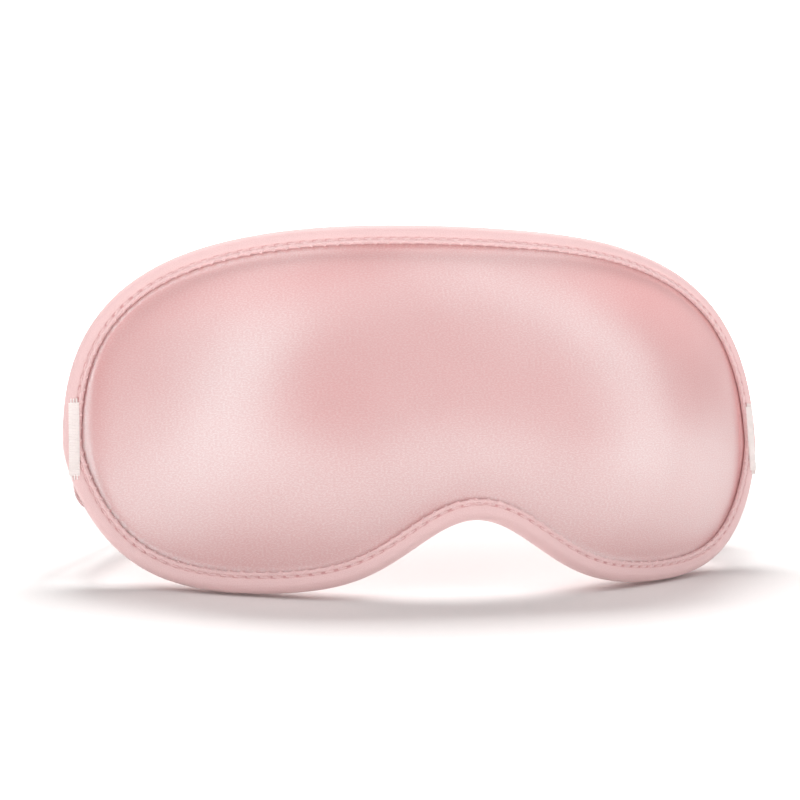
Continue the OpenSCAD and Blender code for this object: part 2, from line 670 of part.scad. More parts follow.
// Route points given on the pod and on the mask, both in the standing frame
function pod_pt(x, y, z) = pod_c + x * side_dir + y * up + (strap_t / 2 + gap / 2 + z) * side_out;
function mask_pt(s, z, o) = tilt(wrap(s, z, o)) + [0, 0, lift];
module main_lead() {
    pod_end = -pod_l / 2 - 0.1;
    color([0.88, 0.74, 0.73]) loop_frame() lead([
        pod_pt(pod_end, 6, 3), pod_pt(pod_end - 1.5, 6, 3), pod_pt(pod_end - 3.5, 9, 3.2),
        pod_pt(pod_end - 5.5, 12.5, 3), pod_pt(pod_end - 7.5, 15.5, 1.6), pod_pt(pod_end - 8.6, 17, -0.8),
        pod_pt(pod_end - 8.8, 16.6, -3.6), pod_pt(pod_end - 7.8, 14.5, -6.6), pod_pt(pod_end - 6.2, 11.6, -9.4),
        mask_pt(lead_s - 1, end_h + 0.5, -15.5), mask_pt(lead_s, end_h, -12.5), mask_pt(lead_s, end_h, -9.5),
        mask_pt(lead_s, end_h, -6.5), mask_pt(lead_s, end_h, -3.5), mask_pt(lead_s - 0.1, end_h, -1.5),
        mask_pt(lead_s - 0.5, end_h + 0.1, 0.2), mask_pt(lead_s - 1.6, end_h + 0.6, 1.4),
        mask_pt(lead_s - 3.2, end_h + 1.4, lead_o), mask_pt(lead_s - 6, end_h + 2.6, lead_o),
        mask_pt(board_s + 4.6, capsule_z, lead_o), mask_pt(board_s + 3.1, capsule_z, lead_o)], lead_d);
}
module right_lead() {
    gap_s = capsule_s + capsule_l / 2 + 0.1;
    color([0.8, 0.2, 0.2]) stand() lead([for (s = [board_s - 3.1, (board_s - 3.1 + gap_s) / 2, gap_s])
        wrap(s, capsule_z, lead_o)], lead_d);
}
module left_lead() {
    end_s = capsule_s + capsule_l / 2 + 0.1;
    bridge_z = mask_h - 20;
    flat_pts = concat(
        [[board_s - 1, capsule_z + 5.3], [board_s - 1, capsule_z + 7], [board_s - 2, capsule_z + 10], [board_s - 6, capsule_z + 16],
         [board_s - 14, capsule_z + 24], [board_s - 26, bridge_z - 3], [board_s - 40, bridge_z]],
        [for (s = [board_s - 54:-8:54 - board_s]) [s, bridge_z]],
        [[40 - board_s, bridge_z], [26 - board_s, bridge_z - 3], [14 - board_s, capsule_z + 24],
         [4.5 - board_s, capsule_z + 15], [1 - board_s, capsule_z + 6], [2.4 - board_s, capsule_z + 1],
         [-end_s - 2.5, capsule_z], [-end_s, capsule_z]]);
    color([0.8, 0.2, 0.2]) stand() lead([for (p = flat_pts) wrap(p[0], p[1], lead_o)], lead_d);
}

front_cover();
front_foam();
carrier_sheet();
left_heating_film();
right_heating_film();
left_thermistor();
right_thermistor();
left_motor_base();
right_motor_base();
left_motor_lid();
right_motor_lid();
left_motor();
right_motor();
left_rotor();
right_rotor();
back_foam();
back_lining();
edge_binding();
left_bartack();
right_bartack();
head_strap();
strap_return();
strap_tab();
strap_ring();
strap_slider();
pod_back_shell();
pod_front_shell();
pod_clip();
pod_screws();
circuit_board();
control_chips();
battery();
usb_socket();
tact_switch();
power_button();
light_pipe();
port_cover();
junction_board();
lead_grommet();
main_lead();
left_lead();
right_lead();
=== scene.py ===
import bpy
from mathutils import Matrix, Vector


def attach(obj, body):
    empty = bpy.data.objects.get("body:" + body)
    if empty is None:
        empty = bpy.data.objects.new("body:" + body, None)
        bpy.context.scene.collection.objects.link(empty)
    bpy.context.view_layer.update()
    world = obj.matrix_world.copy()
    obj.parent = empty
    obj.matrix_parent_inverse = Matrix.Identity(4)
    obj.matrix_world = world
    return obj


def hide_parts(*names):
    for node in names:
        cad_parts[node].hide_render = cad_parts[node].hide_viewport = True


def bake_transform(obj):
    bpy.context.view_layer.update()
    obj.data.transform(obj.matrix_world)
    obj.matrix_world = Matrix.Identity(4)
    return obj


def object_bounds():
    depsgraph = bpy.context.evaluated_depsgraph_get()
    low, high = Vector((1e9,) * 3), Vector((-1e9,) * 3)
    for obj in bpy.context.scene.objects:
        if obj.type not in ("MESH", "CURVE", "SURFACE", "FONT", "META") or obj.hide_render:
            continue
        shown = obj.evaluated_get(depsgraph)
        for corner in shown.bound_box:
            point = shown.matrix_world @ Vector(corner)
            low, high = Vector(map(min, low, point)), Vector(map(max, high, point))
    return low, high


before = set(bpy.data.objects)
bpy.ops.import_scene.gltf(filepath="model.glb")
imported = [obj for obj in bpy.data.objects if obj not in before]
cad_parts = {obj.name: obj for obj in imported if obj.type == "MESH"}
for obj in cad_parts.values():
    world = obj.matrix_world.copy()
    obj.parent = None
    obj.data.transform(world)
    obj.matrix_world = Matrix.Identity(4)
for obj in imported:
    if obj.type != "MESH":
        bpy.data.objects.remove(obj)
cad_box = [list(corner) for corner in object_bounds()]

import math

import bmesh
import bpy
import numpy as np
from mathutils import Matrix, Vector

# ---------- Camera ----------
# A product view across a table top: low, from the left of the mask, held with a slight roll.
# It looks a little to the left of the mask's middle, so the mask sits right of centre.
subject = Vector((0, -0.045, 0.050))
aim = Vector((-0.0173, -0.045, 0.0518))
azimuth, elevation, roll = (math.radians(a) for a in (-20.9, 6.53, 2.6))
distance = 0.450
toward = Vector((math.sin(azimuth) * math.cos(elevation), -math.cos(azimuth) * math.cos(elevation),
                 math.sin(elevation)))
camera = bpy.data.objects.new("camera", bpy.data.cameras.new("camera"))
camera.data.sensor_width = 36
camera.data.lens = 72.1
camera.data.clip_start = 0.01
camera.location = subject + distance * toward
view_back = (camera.location - aim).normalized()
view_right = Vector((0, 0, 1)).cross(view_back).normalized()
view_up = view_back.cross(view_right)
level = Matrix((view_right, view_up, view_back)).transposed()
camera.rotation_euler = (level @ Matrix.Rotation(roll, 3, "Z")).to_euler()
bpy.context.scene.collection.objects.link(camera)
bpy.context.scene.camera = camera
bpy.context.scene.view_settings.view_transform = "Standard"

# ---------- Table top and studio light ----------
# White paper under the mask that glows more the further it is from the mask, as painted light, and a lit
# white wall round it. A tall soft box stands on each side in front, and one hangs above and behind. Every
# material uses the tools below: arithmetic on a value adds Math nodes, and node() adds any other.


class Value:
    """One number on a node socket. Arithmetic on it adds Math nodes."""

    def __init__(self, finish, socket):
        self.finish = finish
        self.socket = socket

    def math(self, operation, *terms):
        return self.finish.node("ShaderNodeMath", dict(enumerate(terms)), operation=operation)

    def __add__(self, other):
        return self.math("ADD", self, other)

    def __sub__(self, other):
        return self.math("SUBTRACT", self, other)

    def __rsub__(self, other):
        return self.math("SUBTRACT", other, self)

    def __mul__(self, other):
        return self.math("MULTIPLY", self, other)

    __radd__ = __add__
    __rmul__ = __mul__

    def sine(self):
        return self.math("SINE", self)

    def cosine(self):
        return self.math("COSINE", self)

    def size(self):
        return self.math("ABSOLUTE", self)

    def above(self, low, high):
        """0 at low and less, 1 at high and more, smooth between."""
        return self.finish.node("ShaderNodeMapRange", {0: self, 1: low, 2: high},
                                interpolation_type="SMOOTHSTEP")


class Finish:
    """A material on one Principled shader; constants are set straight on its sockets."""

    def __init__(self, name, **constants):
        self.material = bpy.data.materials.new(name)
        self.material.use_nodes = True
        self.tree = self.material.node_tree
        self.shader = self.tree.nodes["Principled BSDF"]
        for name, value in constants.items():
            self.shader.inputs[name.replace("_", " ")].default_value = value

    def node(self, kind, inputs=None, stops=None, output=0, **settings):
        """Adds a node: its settings and ramp stops first, then the values or links of its sockets."""
        added = self.tree.nodes.new(kind)
        for name, value in settings.items():
            setattr(added, name, value)
        for place, colour in stops or ():
            stop = added.color_ramp.elements.new(place)
            stop.color = colour
        if stops:
            added.color_ramp.elements.remove(added.color_ramp.elements[0])
            added.color_ramp.elements.remove(added.color_ramp.elements[-1])
        for key, value in (inputs or {}).items():
            if isinstance(value, Value):
                self.tree.links.new(value.socket, added.inputs[key])
            else:
                added.inputs[key].default_value = value
        return Value(self, added.outputs[output])

    def place(self, scale=1.0):
        """Object coordinates, in metres times scale."""
        here = self.node("ShaderNodeTexCoord", output=3)
        return self.node("ShaderNodeVectorMath", {0: here, 3: scale}, operation="SCALE")

    def cloth(self, scale=1.0):
        """The piece's own flat coordinates, in metres times scale, as (vector, along, across)."""
        here = self.node("ShaderNodeUVMap", uv_map="flat")
        here = self.node("ShaderNodeVectorMath", {0: here, 3: scale}, operation="SCALE")
        split = self.node("ShaderNodeSeparateXYZ", {0: here})
        return here, split, Value(self, split.socket.node.outputs[1])

    def noise(self, where, scale, detail=2.0, rough=0.5):
        inputs = {"Vector": where, "Scale": scale, "Detail": detail, "Roughness": rough}
        return self.node("ShaderNodeTexNoise", inputs)

    def mix(self, factor, low, high):
        """Between two colours, each a tuple or a link."""
        return self.node("ShaderNodeMix", {0: factor, 6: low, 7: high}, data_type="RGBA", output=2)

    def set(self, socket, value):
        self.tree.links.new(value.socket, self.shader.inputs[socket])

    def bump(self, height, distance, strength=1.0):
        inputs = {"Height": height, "Distance": distance, "Strength": strength}
        self.set("Normal", self.node("ShaderNodeBump", inputs))


def tone(red, green, blue):
    """A colour given in 0-255 steps, as linear light."""
    parts = [c / 255 for c in (red, green, blue)]
    return tuple(c / 12.92 if c < 0.04045 else ((c + 0.055) / 1.055) ** 2.4 for c in parts) + (1.0,)


def new_piece(name, points, faces, finish, smooth=True):
    """A mesh object at the origin, from points in metres."""
    mesh = bpy.data.meshes.new(name)
    mesh.from_pydata([tuple(p) for p in np.asarray(points, float)], [], [tuple(map(int, f)) for f in faces])
    mesh.polygons.foreach_set("use_smooth", [smooth] * len(mesh.polygons))
    mesh.materials.append(finish.material)
    mesh.update()
    piece = bpy.data.objects.new(name, mesh)
    bpy.context.scene.collection.objects.link(piece)
    return piece


paper = Finish("white_paper", Roughness=0.6, Specular_IOR_Level=0.3, Emission_Strength=1.0)
paper_fibre = paper.noise(paper.place(), 900.0)
paper.set("Base Color", paper.mix(paper_fibre, tone(236, 234, 233), tone(240, 238, 237)))
# Painted light: the paper glows, black near the mask and full white from 0.15 to 0.40 m away from it.
paper_glow_away = paper.node("ShaderNodeVectorMath", {0: paper.place()}, output=1, operation="LENGTH")
paper_glow_away = paper_glow_away.above(0.15, 0.40)
paper.set("Emission Color", paper.mix(paper_glow_away, (0.0, 0.0, 0.0, 1.0), (1.0, 1.0, 1.0, 1.0)))
table_half = 3.0
corners = [(-table_half, -table_half, 0), (table_half, -table_half, 0), (table_half, table_half, 0),
           (-table_half, table_half, 0)]
table_top = new_piece("table_top", corners, [(0, 1, 2, 3)], paper, smooth=False)
drum_r, drum_h, drum_sides = 1.0, 1.5, 96
turns = np.radians(np.arange(drum_sides) * 360 / drum_sides)
ring = [(drum_r * math.cos(a), drum_r * math.sin(a)) for a in turns]
corners = [(x, y, 0) for x, y in ring] + [(x, y, drum_h) for x, y in ring]
walls = []
for k in range(drum_sides):
    after = (k + 1) % drum_sides
    walls.append((k, after, after + drum_sides, k + drum_sides))
lit_wall = Finish("lit_backdrop", Emission_Strength=1.0, Emission_Color=(1.0, 1.0, 1.0, 1.0))
backdrop = new_piece("backdrop", corners, walls, lit_wall)
backdrop.visible_diffuse = backdrop.visible_glossy = backdrop.visible_shadow = False

world = bpy.data.worlds.new("studio")
world.use_nodes = True
world.node_tree.nodes["Background"].inputs["Color"].default_value = (1.0, 1.0, 1.0, 1.0)
world.node_tree.nodes["Background"].inputs["Strength"].default_value = 0.12
bpy.context.scene.world = world


def soft_box(name, turn, height_angle, away, width, height, watts, mirrored=True):
    """An area light on a ball round the mask: turn in degrees from the front, positive to the right."""
    a, e = math.radians(turn), math.radians(height_angle)
    out = Vector((math.sin(a) * math.cos(e), -math.cos(a) * math.cos(e), math.sin(e)))
    lamp = bpy.data.lights.new(name, "AREA")
    lamp.shape = "RECTANGLE"
    lamp.size, lamp.size_y = width, height
    lamp.energy = watts
    box = bpy.data.objects.new(name, lamp)
    box.visible_glossy = mirrored
    box.location = subject + away * out
    box.rotation_euler = out.to_track_quat("Z", "Y").to_euler()
    bpy.context.scene.collection.objects.link(box)


soft_box("left_soft_box", -53, 34, 1.1, 0.6, 1.7, 7.6)
soft_box("right_soft_box", 54, 34, 1.1, 0.45, 1.7, 5.8)
soft_box("top_soft_box", 172, 64, 1.2, 0.7, 0.4, 16.0, mirrored=False)

# ---------- Carrier sheet, the flat pattern and the wrap ----------
# The stiff felt layer in the middle of the mask that carries the heaters, motors and leads. It is die-cut
# to the mask's flat pattern, 12 mm inside the edge, and everything soft is laid up on it.
half_w, mask_h, end_h = 112.5, 100.0, 43.0
notch_h, notch_w = 18.3, 17.7
brow_power, lobe_power, brow_round, lobe_round = 4.0, 6.3, 2.4, 1.39
wrap_r, wrap_angle, lean = 135.0, math.radians(22.4), math.radians(15)
arc_s = wrap_r * wrap_angle
binding_w, binding_t, edge_t, gap = 5.6, 1.2, 1.4, 0.3
seam_w, slope_w, front_slope_w = binding_w + 0.6, 16.0, 27.0
tape_o = edge_t + gap + binding_t
front_rise, dome_h, dome_s, dome_z, dome_spread = 9.0, 7.0, 56.0, 0.52 * mask_h, 34
back_rise, cup_depth, cup_s, cup_z, cup_spread_s, cup_spread_z = 10.5, 8.0, 36.0, 0.5 * mask_h, 22, 19
mm = 0.001


def brow(s, cut=0.0):
    q = np.minimum(1, np.abs(s) / (half_w - cut))
    return end_h + (mask_h - end_h - cut) * (1 - q ** brow_power) ** (1 / brow_round)


def lobe(s, cut=0.0):
    q = np.minimum(1, np.abs(s) / (half_w - cut))
    notch = notch_h * np.exp(-(s / notch_w) ** 2 / 2)
    return end_h - (end_h - cut) * (1 - q ** lobe_power) ** (1 / lobe_round) + notch


def steep(line, s):
    return np.sqrt(1 + (line(s + 0.5) - line(s - 0.5)) ** 2)


def inset(s, z):
    """Rough distance of a flat point from the mask's edge, in mm."""
    up = np.maximum(0.01, (brow(s) - z) / steep(brow, s))
    down = np.maximum(0.01, (z - lobe(s)) / steep(lobe, s))
    side = np.maximum(0.01, half_w - np.abs(s))
    return 1 / np.sqrt(1 / up ** 2 + 1 / down ** 2 + 1 / side ** 2)


def rise(s, z):
    t = np.clip((inset(s, z) - seam_w) / slope_w, 0, 1)
    return (1 - (1 - t) ** 2) ** 0.6


def swell(s, z):
    """The front fills out more slowly from its seam than the back does."""
    t = np.clip((inset(s, z) - seam_w) / front_slope_w, 0, 1)
    return (1 - (1 - t) ** 2) ** 0.95


def bulge(s, z, at_s, at_z, spread_s, spread_z):
    return np.exp(-((np.abs(s) - at_s) / spread_s) ** 2 - ((z - at_z) / spread_z) ** 2)


def front_height(s, z):
    dome = dome_h * bulge(s, z, dome_s, dome_z, dome_spread, dome_spread)
    return edge_t + swell(s, z) * (front_rise + dome)


def back_height(s, z):
    cup = cup_depth * bulge(s, z, cup_s, cup_z, cup_spread_s, cup_spread_z)
    return edge_t + rise(s, z) * (back_rise - cup)


def lean_back(p):
    c, n = math.cos(lean), math.sin(lean)
    return np.stack([p[..., 0], p[..., 1] * c + p[..., 2] * n, p[..., 2] * c - p[..., 1] * n], -1)


def wrapped(s, z, o):
    s, z, o = np.broadcast_arrays(*(np.asarray(v, float) for v in (s, z, o)))
    a = np.sign(s) * np.minimum(np.abs(s), arc_s) / wrap_r
    flat = np.maximum(0, np.abs(s) - arc_s)
    x = wrap_r * np.sin(a) + np.sign(s) * flat * np.cos(a) + o * np.sin(a)
    y = wrap_r * (1 - np.cos(a)) + flat * np.abs(np.sin(a)) - o * np.cos(a)
    return lean_back(np.stack([x, y, z], -1))


# The mask stands on its lobes and the whole part is centred front to back
turn = np.radians(np.arange(0, 360, 3.75))
rim_s = half_w * np.sin(turn)
rim_z = np.where(np.cos(turn) >= -1e-12, lobe(rim_s), brow(rim_s))
lift = -wrapped(rim_s, rim_z, -tape_o)[:, 2].min()
grid_s, grid_z = np.meshgrid(np.arange(-90, 91, 3.0), np.arange(30, 81, 4.0))
front_y = wrapped(grid_s, grid_z, front_height(grid_s, grid_z))[..., 1].min()
centre_y = front_y - cad_box[0][1] / mm


def on_mask(s, z, o):
    """World place, in metres, of the point o mm in front of the flat pattern's point (s, z)."""
    return (wrapped(s, z, o) + [0, -centre_y, lift]) * mm


def pattern_grid(cut, cols, rows):
    """Flat points that fill the pattern, cut mm inside its edge; the first row lies on the seam line."""
    a = np.radians(np.linspace(-88, 88, cols + 1))
    s = (half_w - cut) * np.sin(a)
    low, high = lobe(s, cut), brow(s, cut)
    flat = max(0.4, seam_w - 0.1 - cut)
    room = (high - low) / 4
    low_in = low + np.minimum(room, flat * steep(lobe, s))
    high_in = high - np.minimum(room, flat * steep(brow, s))
    t = (np.arange(rows + 1) - 1) / (rows - 2)
    mixed = 0.35 * t + 0.65 * (1 - np.cos(math.pi * t)) / 2
    z = low_in[:, None] + (high_in - low_in)[:, None] * mixed[None, :]
    z[:, 0], z[:, -1] = low, high
    return np.repeat(s[:, None], rows + 1, 1), z


def grid_faces(cols, rows, start=0, flip=False):
    faces = []
    for i in range(cols):
        for j in range(rows):
            a = start + i * (rows + 1) + j
            face = (a, a + 1, a + rows + 2, a + rows + 1)
            faces.append(face[::-1] if flip else face)
    return faces


def rim_faces(cols, rows, other, flip=False):
    """Joins the rim of the first grid to the rim of the grid that starts at other."""
    step = rows + 1
    rim = list(range(rows)) + [i * step + rows for i in range(cols)]
    rim += [cols * step + j for j in range(rows, 0, -1)] + [i * step for i in range(cols, 0, -1)]
    faces = [(a, other + a, other + b, b) for a, b in zip(rim, rim[1:] + rim[:1])]
    return [f[::-1] for f in faces] if flip else faces


def lay_flat(piece, across, along):
    """Stores each corner's flat place, in metres, as the map that the weave follows."""
    layer = piece.data.uv_layers.new(name="flat")
    flat = np.stack([np.ravel(across), np.ravel(along)], 1) * mm
    corners = np.empty(len(piece.data.loops), int)
    piece.data.loops.foreach_get("vertex_index", corners)
    layer.data.foreach_set("uv", flat[corners].ravel())


def finished(piece):
    """Applies the piece's modifiers, so that a plain mesh is left at the origin."""
    graph = bpy.context.evaluated_depsgraph_get()
    mesh = bpy.data.meshes.new_from_object(piece.evaluated_get(graph), depsgraph=graph)
    piece.modifiers.clear()
    old = piece.data
    piece.data = mesh
    bpy.data.meshes.remove(old)
    mesh.name = piece.name
    return piece


def slab(name, cut, outer, inner, side, cols, rows, finish):
    """A closed layer between two heights, with its edge rounded by one subdivision."""
    s, z = pattern_grid(cut, cols, rows)
    points = np.concatenate([on_mask(s, z, side * outer(s, z)).reshape(-1, 3),
                             on_mask(s, z, side * inner(s, z)).reshape(-1, 3)])
    count = s.size
    front = side > 0
    faces = grid_faces(cols, rows, 0, front) + grid_faces(cols, rows, count, not front)
    faces += rim_faces(cols, rows, count, front)
    piece = new_piece(name, points, faces, finish)
    lay_flat(piece, np.concatenate([s.ravel(), s.ravel()]), np.concatenate([z.ravel(), z.ravel()]))
    round_edge = piece.modifiers.new("round_edge", "SUBSURF")
    round_edge.levels = round_edge.render_levels = 1
    return finished(piece)


felt = Finish("carrier_felt", Roughness=0.95, Sheen_Weight=0.2)
felt_at = felt.cloth()[0]
felt_fibre = felt.noise(felt_at, 2600.0, 4.0, 0.7)
felt.set("Base Color", felt.mix(felt_fibre, tone(196, 198, 202), tone(232, 233, 236)))
felt.bump(felt_fibre, 0.0002)
carrier_cut, carrier_low, carrier_t = 12.0, 0.4, 0.6
carrier = slab("carrier_felt", carrier_cut, lambda s, z: carrier_low + carrier_t + 0 * s,
               lambda s, z: carrier_low + 0 * s, 1, 60, 24, felt)
carrier_s = np.linspace(-(half_w - carrier_cut), half_w - carrier_cut, 400)
carrier_tall = float(np.mean(brow(carrier_s, carrier_cut) - lobe(carrier_s, carrier_cut)))
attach(carrier, "mask")
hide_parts("carrier_sheet")

# ---------- Heaters, sensors, motors and boards on the carrier ----------
# Two copper film heaters, a sensor bead over each eye, and a coin-thin vibration motor in a two-part
# plastic capsule. They are glued or clipped to the felt before the foam goes on, and stay as built in CAD.


def dress(finish, *nodes):
    """Puts a finish on CAD nodes that are shown as they are."""
    for node in nodes:
        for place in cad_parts[node].material_slots:
            place.material = finish.material


film = Finish("heating_film", Roughness=0.35)
film_split = film.node("ShaderNodeSeparateXYZ", {0: film.place(2200.0)}, output=2)
film_track = film_split.sine().above(0.1, 0.5)
film.set("Base Color", film.mix(film_track, tone(176, 92, 40), tone(222, 150, 92)))
film.bump(film_track, 0.00006)
dress(film, "left_heating_film", "right_heating_film")

capsule = Finish("capsule_plastic", Specular_IOR_Level=0.5)
capsule_grain = capsule.noise(capsule.place(), 1500.0, 3.0)
capsule.set("Base Color", capsule.mix(capsule_grain, tone(226, 227, 229), tone(238, 239, 240)))
capsule.set("Roughness", capsule_grain * 0.2 + 0.35)
capsule.bump(capsule_grain, 0.00003)
dress(capsule, "left_motor_base", "right_motor_base", "left_motor_lid", "right_motor_lid")

steel = Finish("drawn_steel", Metallic=1.0)
steel_brush = steel.noise(steel.place(), 3000.0, 3.0, 0.6)
steel.set("Base Color", steel.mix(steel_brush, tone(176, 178, 182), tone(214, 216, 219)))
steel.set("Roughness", steel_brush * 0.25 + 0.22)
dress(steel, "left_motor", "right_motor", "usb_socket", "pod_screws")

brass = Finish("turned_brass", Metallic=1.0)
brass_cut = brass.noise(brass.place(), 2500.0, 2.0)
brass.set("Base Color", brass.mix(brass_cut, tone(188, 152, 84), tone(222, 190, 120)))
brass.set("Roughness", brass_cut * 0.2 + 0.25)
dress(brass, "left_rotor", "right_rotor")

black = Finish("black_plastic")
black_grain = black.noise(black.place(), 2400.0, 3.0)
black.set("Base Color", black.mix(black_grain, tone(24, 24, 27), tone(48, 48, 52)))
black.set("Roughness", black_grain * 0.3 + 0.4)
dress(black, "left_thermistor", "right_thermistor", "control_chips", "tact_switch")

board = Finish("circuit_board", Roughness=0.4)
board_lines = board.noise(board.place(), 700.0, 1.0).above(0.48, 0.52)
board.set("Base Color", board.mix(board_lines, tone(14, 82, 46), tone(30, 116, 68)))
board.bump(board_lines, 0.00003)
dress(board, "circuit_board", "junction_board")

cell = Finish("cell_pouch", Metallic=0.6)
cell_crease = cell.noise(cell.place(), 350.0, 3.0, 0.6)
cell.set("Base Color", cell.mix(cell_crease, tone(168, 172, 178), tone(206, 209, 214)))
cell.set("Roughness", cell_crease * 0.25 + 0.25)
cell.bump(cell_crease, 0.0002)
dress(cell, "battery")

# ---------- Foam layers ----------
# Two layers of soft open-cell foam, one each side of the carrier. They are skived thin at the edge, so that
# only the two fabrics reach the binding, and moulded into two domes in front and two eye cups behind.
foam = Finish("open_cell_foam", Roughness=1.0, Sheen_Weight=0.1)
foam_cells = foam.node("ShaderNodeTexVoronoi", {"Vector": foam.place(), "Scale": 1500.0})
foam.set("Base Color", foam.mix(foam_cells, tone(226, 220, 205), tone(243, 239, 228)))
foam.bump(foam_cells, 0.0004)
soft_gap, foam_t, foam_cut = 0.75, 3.5, 12.0
cover_t, lining_t = 1.2, 0.8
lead_d, lead_seat = 1.4, 2.0
lead_top = lead_seat + lead_d / 2 + gap


def front_foam_top(s, z):
    return front_height(s, z) - cover_t - soft_gap


def front_foam_low(s, z):
    low = np.maximum(lead_top, front_foam_top(s, z) - foam_t * (0.5 + 0.5 * swell(s, z)))
    return np.minimum(low, front_foam_top(s, z) - 0.3)


def back_foam_top(s, z):
    return back_height(s, z) - lining_t - soft_gap


foam_cols, foam_rows = 64, 26
front_foam = slab("front_foam_pad", foam_cut, front_foam_top, front_foam_low, 1, foam_cols, foam_rows, foam)
back_foam = slab("back_foam_pad", foam_cut, back_foam_top, lambda s, z: 0.5 + 0 * s, -1,
                 foam_cols, foam_rows, foam)
for pad, node in ((front_foam, "front_foam"), (back_foam, "back_foam")):
    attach(pad, "mask")
    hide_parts(node)

# ---------- Front panel ----------
# Satin-faced stretch knit on a thin laminate, cut a little small and pulled over the domed foam. It is
# stitched down all round under the binding, so the foam fills it out from the seam inwards.
satin = Finish("pink_satin_knit", IOR=3.4, Specular_Tint=(0.6, 1, 1, 1), Sheen_Weight=0.25,
               Sheen_Roughness=0.4, Anisotropic=0.3)
satin_at, satin_u, satin_v = satin.cloth()
satin_courses = satin.node("ShaderNodeVectorMath", {0: satin_at, 1: (0.7, 1.4, 1)}, operation="MULTIPLY")
satin_grain = satin.noise(satin_courses, 2300.0, 2.0, 0.7)
# Lighter flecks in the colour: the knit's fine grain together with painted glints of its sparkle.
satin_spark = satin_grain.above(0.42, 0.64)
satin_cloud = satin.noise(satin_at, 45.0, 2.0, 0.5)
rib_pitch, course_pitch = 0.00062, 0.00045
satin_wander = satin.noise(satin_at, 160.0, 1.0) * 2.2
satin_rib = (satin_u * (2 * math.pi / rib_pitch) + satin_wander).sine()
satin_course = (satin_v * (2 * math.pi / course_pitch) + satin_wander * 1.6).sine()
satin_weave = satin_rib * satin_course
# Painted shade: the colour goes darker and deeper pink towards both ends, where the cloth turns away from
# the light.
satin_end_shade = satin_u.size().above(0.096, 0.108)
satin_tone = satin_spark * 0.6 + satin_cloud * 0.35 + satin_weave * 0.1 + 0.02 - satin_end_shade * 0.5
satin.set("Base Color", satin.mix(satin_tone, tone(233, 148, 147), tone(250, 192, 191)))
satin.set("Roughness", 0.52 - satin_spark * 0.16)
satin.bump(satin_grain * 0.7 + satin_weave * 0.12, 0.00006, 0.75)


def pull_over_foam(name, cut, height, slack, side, cols, rows, room):
    """Cloth pulled tight over a pad: a closed bag, pinned behind and at its seam, is blown up a little.

    The start shape is slack mm lower than the pad, and no point moves more than room mm."""
    s, z = pattern_grid(cut, cols, rows)
    seam = inset(s, z) <= seam_w
    start = height(s, z) - slack * rise(s, z)
    bag_points = np.concatenate([on_mask(s, z, side * start).reshape(-1, 3),
                                 on_mask(s, z, side * (edge_t - 0.9) + 0 * s).reshape(-1, 3)])
    count = s.size
    front = side > 0
    faces = grid_faces(cols, rows, 0, front) + grid_faces(cols, rows, count, not front)
    faces += rim_faces(cols, rows, count, front)
    bag = new_piece(name + "_bag", bag_points, faces, satin)
    held = bag.vertex_groups.new(name="held")
    held.add([int(k) for k in np.flatnonzero(seam.ravel())] + list(range(count, 2 * count)), 1.0, "REPLACE")
    cloth = bag.modifiers.new("cloth", "CLOTH").settings
    cloth.quality = 6
    cloth.mass = 0.25
    cloth.tension_stiffness = cloth.compression_stiffness = 12
    cloth.shear_stiffness = 6
    cloth.bending_stiffness = 0.6
    cloth.vertex_group_mass = "held"
    cloth.use_pressure = True
    cloth.uniform_pressure_force = 4.0
    cloth.effector_weights.gravity = 0
    scene = bpy.context.scene
    for step in range(1, 21):
        scene.frame_set(step)
    blown = bag.evaluated_get(bpy.context.evaluated_depsgraph_get()).data
    moved = np.empty(6 * count)
    blown.vertices.foreach_get("co", moved)
    bag.modifiers.clear()
    scene.frame_set(1)
    moved = moved.reshape(-1, 3)[:count] - bag_points[:count]
    far = np.linalg.norm(moved, axis=1, keepdims=True)
    moved *= np.minimum(1, room * mm / np.maximum(far, 1e-9))
    bpy.data.objects.remove(bag)
    return s, z, bag_points[:count] + moved


def soft_skin(name, flat_s, flat_z, points, thick, side, cols, rows, finish):
    """The fabric itself: the blown shape smoothed, with its real thickness on the inside."""
    skin = new_piece(name, points, grid_faces(cols, rows, 0, side > 0), finish)
    lay_flat(skin, flat_s, flat_z)
    smooth = skin.modifiers.new("smooth", "SUBSURF")
    smooth.levels = smooth.render_levels = 2
    thickness = skin.modifiers.new("thickness", "SOLIDIFY")
    thickness.thickness = thick * mm
    thickness.offset = -1
    return finished(skin)


panel_cut = binding_t + gap
panel_cols, panel_rows = 64, 28
shape = pull_over_foam("front_panel", panel_cut, front_height, 1.0, 1, panel_cols, panel_rows, 1.6)
front_panel = soft_skin("front_panel", *shape, cover_t - 0.1, 1, panel_cols, panel_rows, satin)
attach(front_panel, "mask")
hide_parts("front_cover")

# ---------- Face lining ----------
# Brushed stretch jersey over the back foam. It dips into the two eye cups, so that nothing presses on the
# eyes, and it is caught in the same seam as the front panel.
jersey = Finish("brushed_jersey", Roughness=0.9, Sheen_Weight=0.6, Sheen_Roughness=0.5,
                Specular_IOR_Level=0.25)
jersey_at, jersey_u, _ = jersey.cloth()
jersey_pile = jersey.noise(jersey_at, 1500.0, 4.0, 0.65)
jersey_wander = jersey.noise(jersey_at, 220.0, 1.0) * 3.0
wale_pitch = 0.0011
jersey_wale = (jersey_u * (2 * math.pi / wale_pitch) + jersey_wander).sine()
jersey_tone = jersey_pile * 0.7 + jersey_wale * 0.08 + 0.15
jersey.set("Base Color", jersey.mix(jersey_tone, tone(222, 176, 175), tone(246, 212, 210)))
jersey.bump(jersey_pile + jersey_wale * 0.3, 0.0003, 0.8)
shape = pull_over_foam("face_lining", panel_cut, back_height, 0.6, -1, panel_cols, panel_rows, 1.5)
face_lining = soft_skin("face_lining", *shape, lining_t - 0.1, -1, panel_cols, panel_rows, jersey)
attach(face_lining, "mask")
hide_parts("back_lining")

